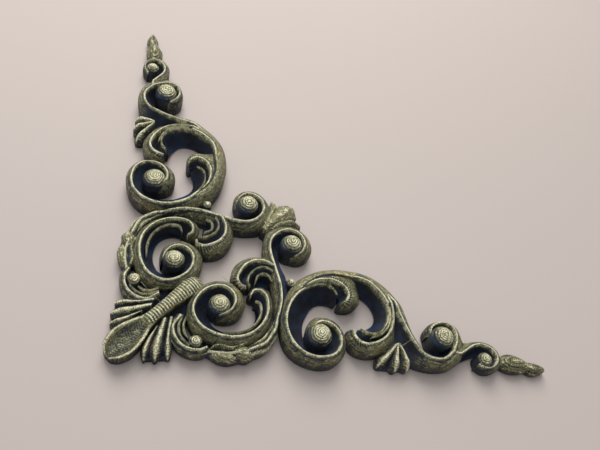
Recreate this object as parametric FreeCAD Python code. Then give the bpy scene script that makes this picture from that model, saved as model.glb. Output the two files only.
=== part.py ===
"""Carved scroll corner ornament: two mirrored arms of volutes and leaves on one flat back.

Millimetres. The flat back lies on z = 0 and the carving rises along +Z. The outer edges of the
two arms run along +X and +Y from the outer corner, and the arms mirror each other in the plane
x = y. Every carved member is one solid that stands on the back and meets its neighbours. The
tables measure from the outer corner, and the finished solids from the middle of the back.
"""
import FreeCAD, Part
import math
import os

# Driving dimensions
ARM = 150.0            # outer corner to the tip of each arm
CREST = 9.0            # height of the ridge line of most members above the back
EYE_RISE = 1.3         # how far the eye of a volute stands above the ridge line
EYE_FLARE = 1.22       # radius of an eye at its foot over the radius in its table
CROWN_FLAT = 0.3       # radius of the small flat left by the print at the top of an eye
SLOPE_LIMIT = 1.6      # longest tangent at a rib, as a multiple of the shorter slope beside it
SHORTEST_STEP = 0.8    # least spacing of the ribs in the curves' own parameter
BLOCK_RIBS = 5         # a long run is built in blocks of this many spans
SLIVER = 0.4           # cubic millimetres, cut-off crumbs smaller than this are dropped

V = FreeCAD.Vector

# A member is a list of ribs. A rib is (left edge, ridge, right edge), each point (x, y, z), and
# left and right are as seen when walking from the first rib to the last along the ridge.

BIG_SCROLL = [
    ((63.6, 14.2, 5.0), (65.4, 12.9, 8.4), (66.0, 12.5, 8.0)),
    ((66.5, 17.0, 5.0), (67.7, 14.2, 8.8), (67.6, 13.3, 6.0)),
    ((71.6, 16.7, 5.0), (70.6, 13.5, 9.0), (69.4, 12.6, 4.6)),
    ((75.1, 13.6, 5.0), (72.9, 11.3, 9.0), (70.3, 11.3, 3.8)),
    ((76.3, 9.0, 5.0), (73.7, 8.5, 9.0), (70.5, 9.6, 3.4)),
    ((75.4, 4.2, 5.0), (73.2, 5.7, 9.0), (69.8, 7.9, 3.2)),
    ((72.6, 1.2, 5.5), (71.3, 3.5, 9.0), (68.6, 6.8, 3.0)),
    ((69.2, 0.1, 5.5), (68.3, 2.4, 9.0), (67.0, 6.4, 2.8)),
    ((65.0, 0.3, 5.5), (64.6, 2.4, 9.0), (65.2, 6.9, 2.4)),
    ((60.2, 2.1, 5.5), (60.8, 4.0, 9.0), (64.0, 8.2, 1.8)),
    ((56.6, 5.3, 5.5), (58.0, 7.0, 9.0), (63.2, 10.0, 1.4)),
    ((54.8, 9.6, 5.5), (56.4, 11.0, 9.0), (62.7, 12.8, 1.0)),
    ((54.2, 14.4, 5.5), (56.1, 14.8, 9.1), (63.0, 16.2, 1.0)),
    ((54.8, 19.4, 5.5), (57.0, 18.7, 9.3), (64.4, 19.4, 1.0)),
    ((56.6, 24.0, 5.5), (58.8, 22.1, 9.4), (66.0, 21.9, 1.0)),
    ((59.0, 28.3, 5.5), (61.4, 24.8, 9.6), (67.8, 23.4, 1.0)),
]
EYE_LEAF = [
    ((61.2, 25.4, 9.2), (61.4, 24.8, 9.6), (67.8, 23.4, 1.0)),
    ((63.6, 27.1, 7.5), (64.3, 26.6, 9.7), (69.0, 23.8, 1.0)),
    ((66.6, 28.2, 6.0), (67.2, 27.6, 9.6), (70.4, 23.9, 1.0)),
    ((70.4, 28.5, 5.0), (70.2, 27.7, 9.4), (71.8, 23.6, 1.5)),
    ((73.6, 27.2, 4.5), (72.6, 26.6, 9.0), (73.0, 23.2, 3.0)),
    ((75.1, 24.4, 5.0), (74.0, 24.6, 8.4), (74.2, 22.6, 5.0)),
]
HANGING_LEAF = [
    ((61.6, 26.5, 9.3), (62.2, 26.1, 9.6), (62.4, 25.9, 9.2)),
    ((63.9, 29.0, 9.6), (64.2, 27.5, 9.8), (64.2, 27.1, 7.5)),
    ((67.0, 30.8, 9.8), (66.4, 28.7, 9.9), (66.6, 28.2, 6.0)),
    ((70.6, 31.5, 9.9), (69.2, 29.4, 9.9), (69.4, 28.5, 5.0)),
    ((75.0, 31.4, 9.9), (72.2, 29.4, 9.9), (71.8, 28.3, 4.5)),
    ((79.2, 30.3, 9.4), (75.0, 28.4, 9.6), (73.6, 27.2, 4.0)),
    ((82.4, 26.8, 5.5), (77.2, 26.2, 9.4), (75.2, 25.6, 4.0)),
    ((82.3, 22.9, 5.0), (77.6, 24.3, 9.2), (75.6, 24.4, 4.5)),
    ((79.4, 20.9, 5.0), (76.7, 22.6, 9.0), (75.3, 23.4, 5.0)),
    ((75.8, 20.8, 5.0), (75.0, 21.6, 8.4), (74.6, 22.3, 5.5)),
]
ARCH = [
    ((59.0, 28.3, 5.5), (60.8, 25.675, 9.5), (61.4, 24.8, 9.4)),
    ((63.0, 31.8, 5.5), (64.6, 29.0, 9.9), (64.9, 28.5, 9.4)),
    ((67.6, 34.2, 5.5), (68.6, 31.0, 10.1), (68.8, 30.4, 9.6)),
    ((73.0, 35.4, 5.5), (73.2, 31.7, 10.1), (73.2, 31.0, 9.4)),
    ((78.6, 35.6, 5.5), (78.4, 31.0, 10.0), (78.3, 30.2, 7.8)),
    ((83.6, 34.9, 5.5), (81.8, 30.8, 9.9), (81.4, 28.8, 4.8)),
    ((88.4, 33.1, 5.5), (85.2, 29.6, 9.8), (84.0, 27.5, 2.2)),
    ((92.6, 30.0, 5.5), (87.8, 27.4, 9.7), (86.2, 26.0, 1.0)),
    ((95.6, 26.4, 5.5), (89.8, 24.8, 9.6), (87.8, 24.0, 1.0)),
    ((97.7, 22.5, 5.5), (91.2, 22.0, 9.5), (88.7, 21.8, 1.0)),
]
INNER_FROND = [
    ((92.1, 22.0, 9.2), (91.2, 22.0, 9.5), (88.7, 21.8, 1.0)),
    ((92.2, 17.8, 7.0), (91.4, 18.0, 9.4), (88.8, 19.4, 1.0)),
    ((91.2, 14.2, 6.0), (90.2, 14.6, 9.2), (87.8, 17.2, 1.0)),
    ((89.3, 11.4, 5.4), (88.2, 12.0, 9.0), (85.8, 15.6, 1.4)),
    ((85.8, 9.7, 5.0), (85.3, 11.0, 8.8), (83.9, 14.6, 2.0)),
    ((82.2, 10.0, 5.0), (82.8, 11.6, 8.4), (82.4, 14.2, 3.0)),
    ((80.4, 12.0, 5.4), (81.4, 13.0, 7.6), (81.4, 14.0, 4.0)),
]
OUTER_FROND = [
    ((93.2, 22.1, 9.2), (92.7, 22.0, 9.5), (92.1, 22.0, 9.2)),
    ((94.2, 17.2, 4.6), (92.8, 17.0, 9.4), (92.1, 17.4, 7.0)),
    ((94.4, 13.6, 3.2), (92.0, 14.0, 9.2), (91.1, 14.2, 6.0)),
    ((93.8, 9.4, 3.0), (90.5, 11.4, 9.0), (89.4, 11.6, 5.4)),
    ((91.4, 6.4, 3.0), (88.0, 9.2, 9.0), (87.2, 10.0, 5.0)),
    ((86.8, 4.7, 5.0), (85.1, 7.8, 9.0), (84.8, 9.4, 5.0)),
    ((82.4, 4.5, 5.0), (82.3, 7.3, 9.0), (82.6, 9.5, 5.0)),
    ((78.6, 6.2, 5.0), (80.1, 8.3, 8.8), (81.0, 10.4, 5.0)),
    ((76.8, 9.4, 4.8), (79.0, 10.2, 8.4), (80.4, 11.3, 5.4)),
    ((77.0, 12.8, 4.6), (78.7, 12.2, 7.8), (80.2, 12.2, 5.4)),
]
MEDIUM_SCROLL = [
    ((97.7, 22.5, 5.5), (94.2, 22.2, 9.5), (93.2, 22.1, 9.2)),
    ((98.9, 18.6, 5.5), (95.1, 18.4, 9.4), (94.2, 18.0, 5.0)),
    ((99.8, 15.2, 5.0), (96.4, 14.8, 9.2), (94.4, 14.0, 3.4)),
    ((100.8, 12.2, 4.4), (97.9, 11.0, 9.0), (94.1, 9.4, 3.0)),
    ((102.3, 9.8, 3.4), (99.6, 7.6, 9.0), (96.4, 5.0, 3.0)),
    ((104.4, 8.0, 3.0), (101.8, 4.9, 9.0), (99.4, 2.2, 4.5)),
    ((106.5, 7.3, 2.8), (104.6, 3.4, 9.0), (103.6, 0.8, 5.5)),
    ((108.8, 6.9, 2.8), (107.8, 3.1, 9.0), (108.4, 0.4, 5.5)),
    ((110.8, 7.2, 3.0), (110.6, 4.3, 9.0), (113.0, 1.3, 5.5)),
    ((112.4, 8.4, 3.2), (112.9, 6.5, 9.0), (116.2, 4.0, 6.0)),
    ((113.2, 10.0, 3.6), (114.3, 9.3, 9.0), (117.5, 8.2, 6.0)),
    ((113.3, 11.6, 4.0), (114.9, 12.0, 9.0), (118.0, 12.0, 5.6)),
    ((112.4, 13.2, 4.4), (113.9, 14.5, 9.0), (116.8, 15.4, 5.0)),
    ((110.6, 14.4, 5.0), (111.5, 15.9, 8.9), (113.0, 17.4, 4.8)),
    ((108.6, 14.3, 6.0), (108.6, 15.6, 8.6), (108.4, 17.2, 4.8)),
    ((107.2, 13.5, 7.4), (106.6, 13.8, 8.0), (105.3, 14.5, 4.6)),
    ((107.4, 12.0, 6.8), (106.8, 12.0, 7.0), (105.2, 11.9, 4.4)),
]
SMALL_SCROLL = [
    ((116.4, 8.4, 5.6), (115.2, 5.2, 8.6), (114.0, 2.2, 5.0)),
    ((117.9, 9.2, 5.4), (116.9, 6.0, 8.3), (116.6, 3.9, 3.0)),
    ((120.0, 10.2, 5.0), (119.4, 7.6, 8.0), (119.6, 5.3, 1.6)),
    ((122.8, 11.1, 4.6), (122.0, 8.9, 7.7), (122.3, 6.4, 1.4)),
    ((126.6, 11.2, 4.4), (124.9, 9.2, 7.4), (124.6, 6.9, 2.0)),
    ((129.8, 10.0, 4.2), (127.6, 8.2, 7.2), (126.2, 6.5, 2.4)),
    ((131.8, 7.6, 4.0), (129.3, 6.2, 7.1), (127.4, 5.4, 2.8)),
    ((132.3, 4.8, 4.0), (129.5, 4.1, 7.0), (127.5, 4.2, 3.0)),
    ((131.3, 2.4, 3.8), (128.4, 2.4, 6.8), (126.8, 2.9, 3.2)),
    ((128.8, 0.7, 3.6), (126.4, 1.5, 6.6), (125.9, 2.3, 3.4)),
    ((125.4, 0.5, 3.4), (124.6, 1.8, 6.2), (124.7, 2.5, 4.0)),
    ((122.2, 2.4, 3.2), (123.2, 3.0, 5.6), (123.5, 3.4, 4.6)),
]
CORNER_SCROLL = [
    ((33.2, 14.6, 4.0), (34.6, 15.3, 7.6), (34.8, 15.7, 7.2)),
    ((36.6, 14.2, 4.2), (37.0, 16.3, 8.4), (36.0, 16.9, 5.6)),
    ((40.6, 15.6, 4.6), (38.8, 18.4, 8.9), (37.2, 18.4, 4.4)),
    ((42.9, 19.4, 5.0), (39.2, 20.9, 9.0), (37.2, 20.0, 3.8)),
    ((42.2, 24.0, 5.0), (38.0, 23.4, 9.0), (36.3, 21.3, 3.4)),
    ((38.6, 27.6, 5.4), (35.6, 24.9, 9.0), (34.8, 21.9, 3.0)),
    ((33.6, 28.4, 5.4), (32.4, 24.8, 9.0), (32.8, 21.5, 2.8)),
    ((29.2, 26.4, 6.0), (29.4, 23.2, 9.0), (31.5, 20.4, 2.4)),
    ((25.9, 22.6, 6.0), (27.2, 20.4, 9.0), (31.1, 18.6, 2.0)),
    ((24.2, 18.0, 5.5), (26.2, 17.0, 9.0), (31.4, 16.6, 1.4)),
    ((24.6, 13.2, 5.0), (27.0, 13.6, 9.0), (32.8, 14.2, 1.0)),
    ((26.9, 9.4, 5.0), (29.4, 10.6, 9.0), (34.8, 12.8, 1.0)),
    ((31.4, 6.6, 5.0), (33.0, 8.7, 9.0), (37.2, 12.0, 1.0)),
    ((36.6, 5.2, 5.0), (37.0, 7.8, 9.0), (39.8, 11.9, 1.0)),
    ((41.6, 5.4, 5.0), (41.0, 8.0, 9.0), (42.6, 12.4, 1.0)),
    ((46.4, 7.2, 5.0), (44.9, 9.6, 9.0), (45.0, 13.8, 1.0)),
    ((50.0, 10.8, 5.0), (47.9, 12.6, 9.0), (46.5, 16.0, 1.0)),
    ((51.7, 15.4, 5.0), (49.5, 16.0, 9.0), (47.0, 18.2, 1.0)),
    ((52.2, 20.0, 5.0), (49.9, 19.6, 9.0), (46.6, 20.4, 1.5)),
    ((51.2, 24.4, 5.0), (49.2, 22.6, 9.0), (46.0, 21.6, 3.0)),
    ((48.4, 26.8, 5.0), (47.4, 24.2, 8.8), (45.6, 22.2, 4.0)),
    ((45.2, 26.4, 4.6), (45.6, 24.2, 8.4), (45.2, 22.4, 5.0)),
    ((43.6, 23.8, 4.0), (44.6, 22.8, 7.6), (44.9, 22.2, 6.0)),
]
CORNER_STEM = [
    ((52.2, 14.5, 5.0), (53.2, 15.0, 8.4), (54.2, 15.0, 7.0)),
    ((52.6, 19.5, 4.6), (54.4, 19.0, 8.8), (55.6, 19.6, 6.0)),
    ((52.4, 24.0, 4.0), (54.8, 23.0, 9.0), (57.0, 23.6, 5.0)),
    ((51.8, 27.6, 4.0), (54.5, 27.0, 9.0), (57.4, 27.6, 4.6)),
    ((51.0, 31.0, 4.5), (53.6, 31.0, 9.0), (57.0, 32.0, 4.4)),
    ((50.2, 35.2, 4.6), (52.5, 35.0, 9.0), (55.6, 36.2, 3.6)),
    ((49.3, 39.6, 5.0), (51.5, 39.4, 9.0), (55.0, 40.2, 3.0)),
    ((49.2, 43.8, 5.0), (51.4, 43.2, 9.0), (55.3, 43.6, 3.0)),
    ((50.2, 48.2, 6.0), (52.7, 46.0, 9.0), (56.2, 45.5, 3.0)),
    ((53.6, 51.0, 6.0), (55.2, 48.2, 9.0), (57.4, 46.6, 3.2)),
    ((58.4, 52.2, 5.4), (58.1, 49.1, 9.0), (59.0, 46.6, 3.4)),
    ((62.6, 51.0, 5.0), (61.1, 48.2, 9.0), (60.8, 45.9, 3.8)),
    ((66.0, 47.8, 5.0), (63.0, 45.6, 9.0), (61.9, 44.3, 4.2)),
    ((66.9, 43.8, 4.8), (63.4, 43.0, 8.8), (62.0, 42.7, 4.8)),
    ((65.6, 40.4, 4.6), (62.2, 40.8, 8.2), (61.2, 41.1, 6.0)),
    ((62.2, 38.6, 4.4), (60.3, 39.7, 7.0), (59.9, 40.4, 6.4)),
    ((58.8, 38.9, 4.0), (58.6, 39.9, 5.8), (58.6, 40.5, 5.6)),
]
CORNER_LEAF = [
    ((51.6, 37.4, 5.0), (52.6, 34.0, 8.8), (52.2, 33.0, 8.0)),
    ((48.6, 38.6, 5.0), (49.6, 35.3, 9.0), (49.6, 34.2, 6.4)),
    ((44.4, 38.4, 5.0), (46.0, 35.4, 9.0), (46.4, 34.2, 5.6)),
    ((40.4, 36.0, 5.0), (43.0, 33.8, 9.0), (44.0, 32.8, 5.2)),
    ((38.2, 32.0, 4.8), (41.0, 31.0, 9.0), (42.3, 30.6, 5.0)),
    ((38.4, 28.2, 4.8), (40.2, 28.2, 8.8), (41.7, 28.6, 5.0)),
    ((40.8, 25.8, 4.8), (41.2, 26.4, 8.4), (42.2, 27.3, 5.4)),
    ((43.2, 25.2, 4.8), (42.8, 26.0, 7.8), (42.8, 26.8, 6.0)),
]
CORNER_LEAF_LOBE = [
    ((52.2, 33.0, 8.0), (51.9, 32.0, 8.8), (51.8, 31.0, 6.0)),
    ((49.6, 34.2, 6.2), (49.3, 33.2, 9.0), (51.2, 28.6, 2.4)),
    ((46.4, 34.2, 5.6), (46.4, 32.6, 9.0), (49.2, 28.2, 2.4)),
    ((44.0, 32.8, 5.2), (44.8, 31.0, 9.0), (47.0, 27.8, 2.4)),
    ((42.3, 30.6, 5.0), (43.8, 29.2, 8.8), (45.8, 27.4, 3.0)),
    ((41.9, 28.2, 5.0), (43.6, 27.4, 8.4), (45.0, 26.9, 4.4)),
    ((43.0, 26.8, 5.0), (44.2, 26.4, 7.8), (44.9, 26.6, 6.0)),
]
SMALL_VOLUTE = [
    ((21.4, 15.6, 6.0), (22.6, 15.0, 6.8), (23.8, 14.6, 6.0)),
    ((18.9, 11.4, 5.0), (20.4, 11.2, 6.5), (24.4, 11.4, 2.6)),
    ((19.6, 7.6, 4.6), (21.2, 8.2, 6.3), (25.6, 9.2, 2.4)),
    ((21.8, 4.4, 4.4), (23.0, 5.8, 6.3), (25.8, 7.0, 3.0)),
    ((25.4, 2.5, 4.2), (25.8, 4.3, 6.3), (26.9, 5.0, 3.6)),
    ((29.4, 2.3, 4.0), (28.9, 4.2, 6.2), (28.3, 4.9, 3.8)),
    ((32.2, 4.0, 4.0), (31.0, 5.2, 6.0), (29.2, 6.0, 4.2)),
]
HUSK_LOW = [
    ((30.8, 3.2, 3.6), (31.4, 4.0, 4.8), (31.6, 4.8, 4.4)),
    ((34.4, 1.4, 4.0), (34.6, 3.2, 6.0), (34.4, 5.2, 5.0)),
    ((38.6, 1.1, 4.2), (38.4, 3.2, 6.4), (38.2, 4.9, 5.0)),
    ((42.6, 1.7, 4.2), (42.0, 3.8, 6.4), (41.6, 5.2, 5.2)),
    ((45.0, 3.0, 4.0), (44.4, 4.6, 6.2), (44.0, 5.8, 5.2)),
]
HUSK_HIGH = [
    ((43.6, 2.2, 4.2), (43.8, 4.2, 6.4), (43.8, 5.6, 5.4)),
    ((47.4, 3.3, 4.4), (46.6, 5.2, 7.0), (46.2, 7.0, 6.0)),
    ((50.8, 5.6, 4.8), (49.8, 7.4, 7.4), (48.8, 9.2, 6.4)),
    ((53.2, 9.4, 5.2), (52.2, 10.6, 7.8), (50.9, 11.6, 7.0)),
    ((54.0, 14.2, 5.6), (53.0, 14.4, 8.0), (52.1, 14.4, 7.4)),
]
FRONDS = [
    [  # nearest the centre leaf
        ((14.9, 9.6, 6.6), (15.3, 10.4, 7.4), (16.0, 11.0, 6.8)),
        ((12.2, 6.2, 4.6), (13.3, 6.0, 6.8), (14.3, 5.8, 4.8)),
        ((11.2, 2.6, 3.4), (12.3, 2.2, 5.4), (13.4, 2.2, 3.6)),
        ((11.8, 1.2, 3.0), (12.3, 1.0, 3.6), (12.8, 1.1, 3.0)),
    ],
    [  # the broad middle one
        ((16.6, 12.4, 6.8), (17.6, 13.2, 7.8), (18.6, 13.4, 7.0)),
        ((14.6, 7.8, 5.0), (16.4, 7.6, 7.2), (18.0, 7.6, 5.0)),
        ((13.8, 3.2, 3.8), (15.7, 2.9, 6.0), (17.5, 3.2, 3.8)),
        ((14.8, 1.0, 3.0), (15.6, 0.8, 3.8), (16.4, 1.0, 3.0)),
    ],
    [  # nearest the small volute
        ((18.9, 13.8, 7.0), (19.6, 13.8, 7.6), (20.2, 13.6, 7.0)),
        ((18.2, 8.2, 5.0), (19.0, 8.2, 6.6), (19.7, 8.4, 5.2)),
        ((17.8, 3.8, 3.8), (19.2, 3.8, 5.6), (20.6, 4.0, 4.0)),
        ((18.6, 1.9, 3.0), (19.4, 1.7, 3.6), (20.2, 1.9, 3.0)),
    ],
]
FROND_WEB = [(11.9, 1.4), (20.2, 2.2), (20.4, 8.4), (20.0, 13.6), (16.2, 12.6), (12.6, 7.0)]
SHELL_LOBES = [
    [
        ((92.3, 8.1, 7.0), (92.9, 7.6, 8.8), (93.4, 7.1, 7.6)),
        ((88.8, 5.4, 3.8), (90.0, 4.4, 7.4), (91.4, 3.5, 3.9)),
        ((86.6, 3.8, 3.2), (87.8, 2.4, 6.0), (89.2, 1.4, 3.4)),
        ((86.4, 2.2, 3.0), (87.0, 1.6, 3.6), (87.8, 0.9, 3.0)),
    ],
    [
        ((92.8, 7.6, 7.6), (93.3, 7.8, 9.0), (93.9, 7.7, 7.6)),
        ((91.2, 3.6, 3.8), (92.9, 3.6, 7.6), (94.6, 3.6, 3.8)),
        ((90.8, 1.3, 3.4), (92.8, 1.2, 6.2), (94.8, 1.2, 3.4)),
        ((91.8, 0.2, 3.0), (92.8, 0.0, 3.8), (93.8, 0.2, 3.0)),
    ],
    [
        ((93.2, 7.2, 7.6), (93.8, 7.6, 8.8), (94.4, 8.1, 7.0)),
        ((94.4, 3.5, 3.9), (96.2, 4.0, 7.2), (97.4, 4.4, 3.8)),
        ((94.9, 1.2, 3.4), (96.9, 1.5, 6.0), (98.7, 2.2, 3.4)),
        ((96.2, 0.3, 3.0), (97.2, 0.3, 3.6), (98.0, 0.7, 3.0)),
    ],
]
SHELL_WEB = [(92.6, 8.4), (86.9, 3.0), (87.6, 1.2), (97.8, 0.8), (98.2, 3.0), (94.2, 8.4)]
WEB_HEIGHT = 2.6
MAIN_BUD = [
    ((130.6, 5.2, 2.6), (131.4, 4.6, 3.8), (131.2, 3.8, 2.6)),
    ((134.2, 7.3, 3.2), (134.4, 4.5, 6.0), (134.2, 1.7, 3.2)),
    ((138.2, 7.4, 3.2), (138.2, 4.3, 6.4), (138.2, 0.9, 3.2)),
    ((141.4, 5.8, 2.8), (141.2, 3.7, 5.6), (141.2, 1.4, 2.8)),
    ((143.6, 4.4, 2.0), (143.6, 3.5, 3.4), (143.6, 2.4, 2.0)),
]
TIP_BUD = [
    ((141.4, 4.9, 2.4), (142.0, 3.3, 4.4), (141.8, 1.7, 2.4)),
    ((143.8, 5.3, 2.4), (144.0, 3.1, 5.2), (144.0, 0.6, 2.4)),
    ((146.8, 4.7, 2.2), (146.8, 2.8, 4.9), (146.8, 0.8, 2.2)),
    ((148.8, 3.7, 1.8), (148.9, 2.6, 3.6), (148.8, 1.6, 1.8)),
    ((ARM - 0.3, 2.9, 1.4), (ARM, 2.5, 2.0), (ARM - 0.3, 2.1, 1.4)),
]
# The two members that lie on the mirror plane are given by (distance from the outer corner
# along x and y alike, half width across, ridge height, edge height).
CENTRE_LEAF = [
    (1.6, 1.7, 3.6, 4.4), (2.4, 3.2, 4.4, 5.6), (3.8, 4.3, 4.6, 6.0), (6.4, 4.8, 4.6, 6.4),
    (9.4, 3.9, 5.6, 6.8), (12.4, 2.4, 8.0, 7.0), (17.0, 2.0, 8.6, 7.4), (22.0, 2.5, 8.8, 7.6),
    (25.8, 3.0, 8.6, 7.2), (27.6, 2.6, 7.4, 6.0),
]
FAN_LOBE = [
    (49.4, 1.6, 7.8, 6.2), (51.4, 2.2, 9.0, 6.2), (54.2, 3.4, 9.6, 6.2), (57.0, 4.3, 9.5, 5.8),
    (59.0, 3.9, 8.6, 5.0), (60.3, 2.2, 6.6, 4.0),
]
FAN_SIDE_LOBE = [
    ((51.2, 50.6, 6.0), (51.8, 49.9, 7.6), (52.4, 49.2, 6.6)),
    ((54.8, 53.0, 6.0), (55.5, 52.0, 8.6), (56.2, 50.8, 6.4)),
    ((59.2, 54.6, 5.0), (59.8, 53.4, 8.0), (60.4, 52.0, 5.6)),
    ((62.6, 54.0, 4.0), (63.0, 53.2, 5.6), (63.2, 52.4, 4.4)),
]
# Volute eyes: (x, y) of the centre, radius of the dome, crown height
EYES = {
    "big_eye": (66.9, 9.8, 3.45, CREST + EYE_RISE - 0.2),
    "medium_eye": (109.6, 10.7, 3.75, CREST + EYE_RISE),
    "small_eye": (125.3, 4.3, 2.2, 7.4),
    "corner_eye": (34.3, 18.8, 3.0, CREST + EYE_RISE - 0.5),
    "inner_eye": (58.7, 43.2, 3.2, CREST + EYE_RISE),
    "volute_eye": (27.4, 6.8, 1.8, 6.6),
}
# Link beads where two scrolls touch: (x, y) of the centre, radius, crown height
BEADS = {
    "inner_bead": (58.5, 29.0, 1.7, 7.4),
    "outer_bead": (119.0, 10.6, 1.3, 5.6),
}
# How far the middle of a flank stands above the straight line from edge to ridge, as a share
# of its drop: positive is convex, negative is a cove. (left flank, right flank)
CONVEX = 0.24
COVE = -0.22
PROFILE = {
    "big_scroll": (CONVEX, COVE), "eye_leaf": (0.0, COVE), "hanging_leaf": (CONVEX, COVE),
    "arch": (CONVEX, COVE), "inner_frond": (0.0, COVE), "outer_frond": (CONVEX, COVE),
    "medium_scroll": (CONVEX, COVE), "small_scroll": (CONVEX, COVE),
    "corner_scroll": (CONVEX, COVE), "corner_stem": (CONVEX, COVE),
    "corner_leaf": (CONVEX, COVE), "corner_leaf_lobe": (0.0, COVE),
    "small_volute": (CONVEX, COVE),
}
TURNS = {"medium_scroll": 5}   # an S: its cove changes sides at this rib
RUNS = {
    "big_scroll": BIG_SCROLL, "arch": ARCH, "eye_leaf": EYE_LEAF, "hanging_leaf": HANGING_LEAF,
    "inner_frond": INNER_FROND, "outer_frond": OUTER_FROND, "medium_scroll": MEDIUM_SCROLL,
    "small_scroll": SMALL_SCROLL, "corner_scroll": CORNER_SCROLL, "corner_stem": CORNER_STEM,
    "corner_leaf": CORNER_LEAF, "corner_leaf_lobe": CORNER_LEAF_LOBE,
    "small_volute": SMALL_VOLUTE,
}
DOMES = {
    "fan_side_lobe": FAN_SIDE_LOBE, "main_bud": MAIN_BUD, "tip_bud": TIP_BUD,
    "husk_high": HUSK_HIGH, "husk_low": HUSK_LOW,
}
FIRST_BELOW_CENTRE = "fan_side_lobe"   # the centre members are cut before this one


def long_curve(points, stations, start, end):
    """A smooth edge along a run, from rib start to rib end, with no overshoot between ribs."""
    knots = [V(*p) for p in points]
    spans = [b - a for a, b in zip(stations, stations[1:])]
    slopes = [(b - a) / span for a, b, span in zip(knots, knots[1:], spans)]
    tangents = [slopes[0]]
    for before, after, near, far in zip(slopes, slopes[1:], spans, spans[1:]):
        tangent = (before * far + after * near) / (near + far)
        limit = SLOPE_LIMIT * min(before.Length, after.Length)
        if tangent.Length > limit:
            tangent = tangent * (limit / tangent.Length)
        tangents.append(tangent)
    tangents.append(slopes[-1])
    poles = [knots[0]]
    for i, span in enumerate(spans):
        poles.append(knots[i] + tangents[i] * (span / 3))
        poles.append(knots[i + 1] - tangents[i + 1] * (span / 3))
    poles.append(knots[-1])
    repeats = [4] + [2] * (len(knots) - 2) + [4]
    curve = Part.BSplineCurve()
    curve.buildFromPolesMultsKnots(poles, repeats, stations, False, 3)
    return curve.toShape(stations[start], stations[end])


def middle(edge, ridge, bulge):
    """The point halfway up a flank, raised or sunk by bulge times the flank's drop."""
    drop = abs(ridge[2] - edge[2])
    return (
        (edge[0] + ridge[0]) / 2,
        (edge[1] + ridge[1]) / 2,
        (edge[2] + ridge[2]) / 2 + bulge * drop,
    )


def foot(point):
    return (point[0], point[1], 0.0)


def cap(rib):
    """The two upright faces that close a member under its first or last rib."""
    left_foot, left, left_mid, ridge, right_mid, right, right_foot = rib
    under = foot(ridge)
    halves = ([under, left_foot, left, left_mid, ridge], [under, right_foot, right, right_mid, ridge])
    return [Part.Face(Part.makePolygon([V(*p) for p in half + [half[0]]])) for half in halves]


def block(curves, first_row, last_row):
    """The closed solid between two ribs of a run."""
    faces = [Part.makeRuledSurface(a, b) for a, b in zip(curves, curves[1:])]
    ends = []
    for row in (first_row, last_row):
        under = V(*foot(row[3]))
        ends.append((Part.makeLine(V(*row[0]), under), Part.makeLine(under, V(*row[6]))))
        faces += cap(row)
    outline = [curves[0], *ends[1], curves[-1], *ends[0]]
    faces.append(Part.Face(Part.Wire(Part.__sortEdges__(outline))))
    shell = Part.makeShell([face for shape in faces for face in shape.Faces])
    shell.sewShape()
    solid = Part.makeSolid(shell.Shells[0])
    if solid.Volume < 0:
        solid.reverse()
    return solid


def relief(ribs, bulges, turn=None):
    """The solid over a run of ribs: ruled flanks, upright walls and a flat back.

    From rib number turn on, the two flanks swap their profiles.
    """
    rows = []
    for number, (left, ridge, right) in enumerate(ribs):
        turned = turn is not None and number >= turn
        left_mid = middle(left, ridge, bulges[1] if turned else bulges[0])
        right_mid = middle(right, ridge, bulges[0] if turned else bulges[1])
        rows.append((foot(left), left, left_mid, ridge, right_mid, right, foot(right)))
    stations = [0.0]
    for before, after in zip(ribs, ribs[1:]):
        step = math.dist(before[1][:2], after[1][:2])
        stations.append(stations[-1] + max(step, SHORTEST_STEP))
    blocks = []
    last = len(rows) - 1
    for start in range(0, last, BLOCK_RIBS):
        end = min(start + BLOCK_RIBS, last)
        lines = [long_curve(line, stations, start, end) for line in zip(*rows)]
        blocks.append(block(lines, rows[start], rows[end]))
    return blocks[0].multiFuse(blocks[1:]).Solids[0] if blocks[1:] else blocks[0]


def across(rows):
    """Ribs for a member on the mirror plane, from (distance, half width, ridge, edge) rows."""
    half = math.sqrt(0.5)
    return [
        ((d - w * half, d + w * half, edge), (d, d, ridge), (d + w * half, d - w * half, edge))
        for d, w, ridge, edge in rows
    ]


def boss(x, y, radius, crown, flare):
    """A round boss: upright to the height of crown less radius, and domed above that."""
    side = radius * flare
    shoulder = crown - radius
    rim = V(side, 0, shoulder)
    flat = V(CROWN_FLAT, 0, crown)
    halfway = math.radians(45)
    mid = V(side * math.sin(halfway), 0, shoulder + radius * math.cos(halfway))
    edges = [
        Part.makeLine(V(0, 0, 0), V(side, 0, 0)),
        Part.makeLine(V(side, 0, 0), rim),
        Part.Arc(rim, mid, flat).toShape(),
        Part.makeLine(flat, V(0, 0, crown)),
        Part.makeLine(V(0, 0, crown), V(0, 0, 0)),
    ]
    solid = Part.Face(Part.Wire(edges)).revolve(V(0, 0, 0), V(0, 0, 1), 360)
    solid.translate(V(x, y, 0))
    return solid


def plate(outline, height):
    """A thin web of carved background between lobes, flat on the back."""
    corners = [V(x, y, 0) for x, y in outline]
    return Part.Face(Part.makePolygon(corners + corners[:1])).extrude(V(0, 0, height))


def lobed(lobes, web):
    """Several domed lobes that spread from one root, joined by a web of background."""
    return plate(web, WEB_HEIGHT).multiFuse([relief(ribs, (CONVEX, CONVEX)) for ribs in lobes])


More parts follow.
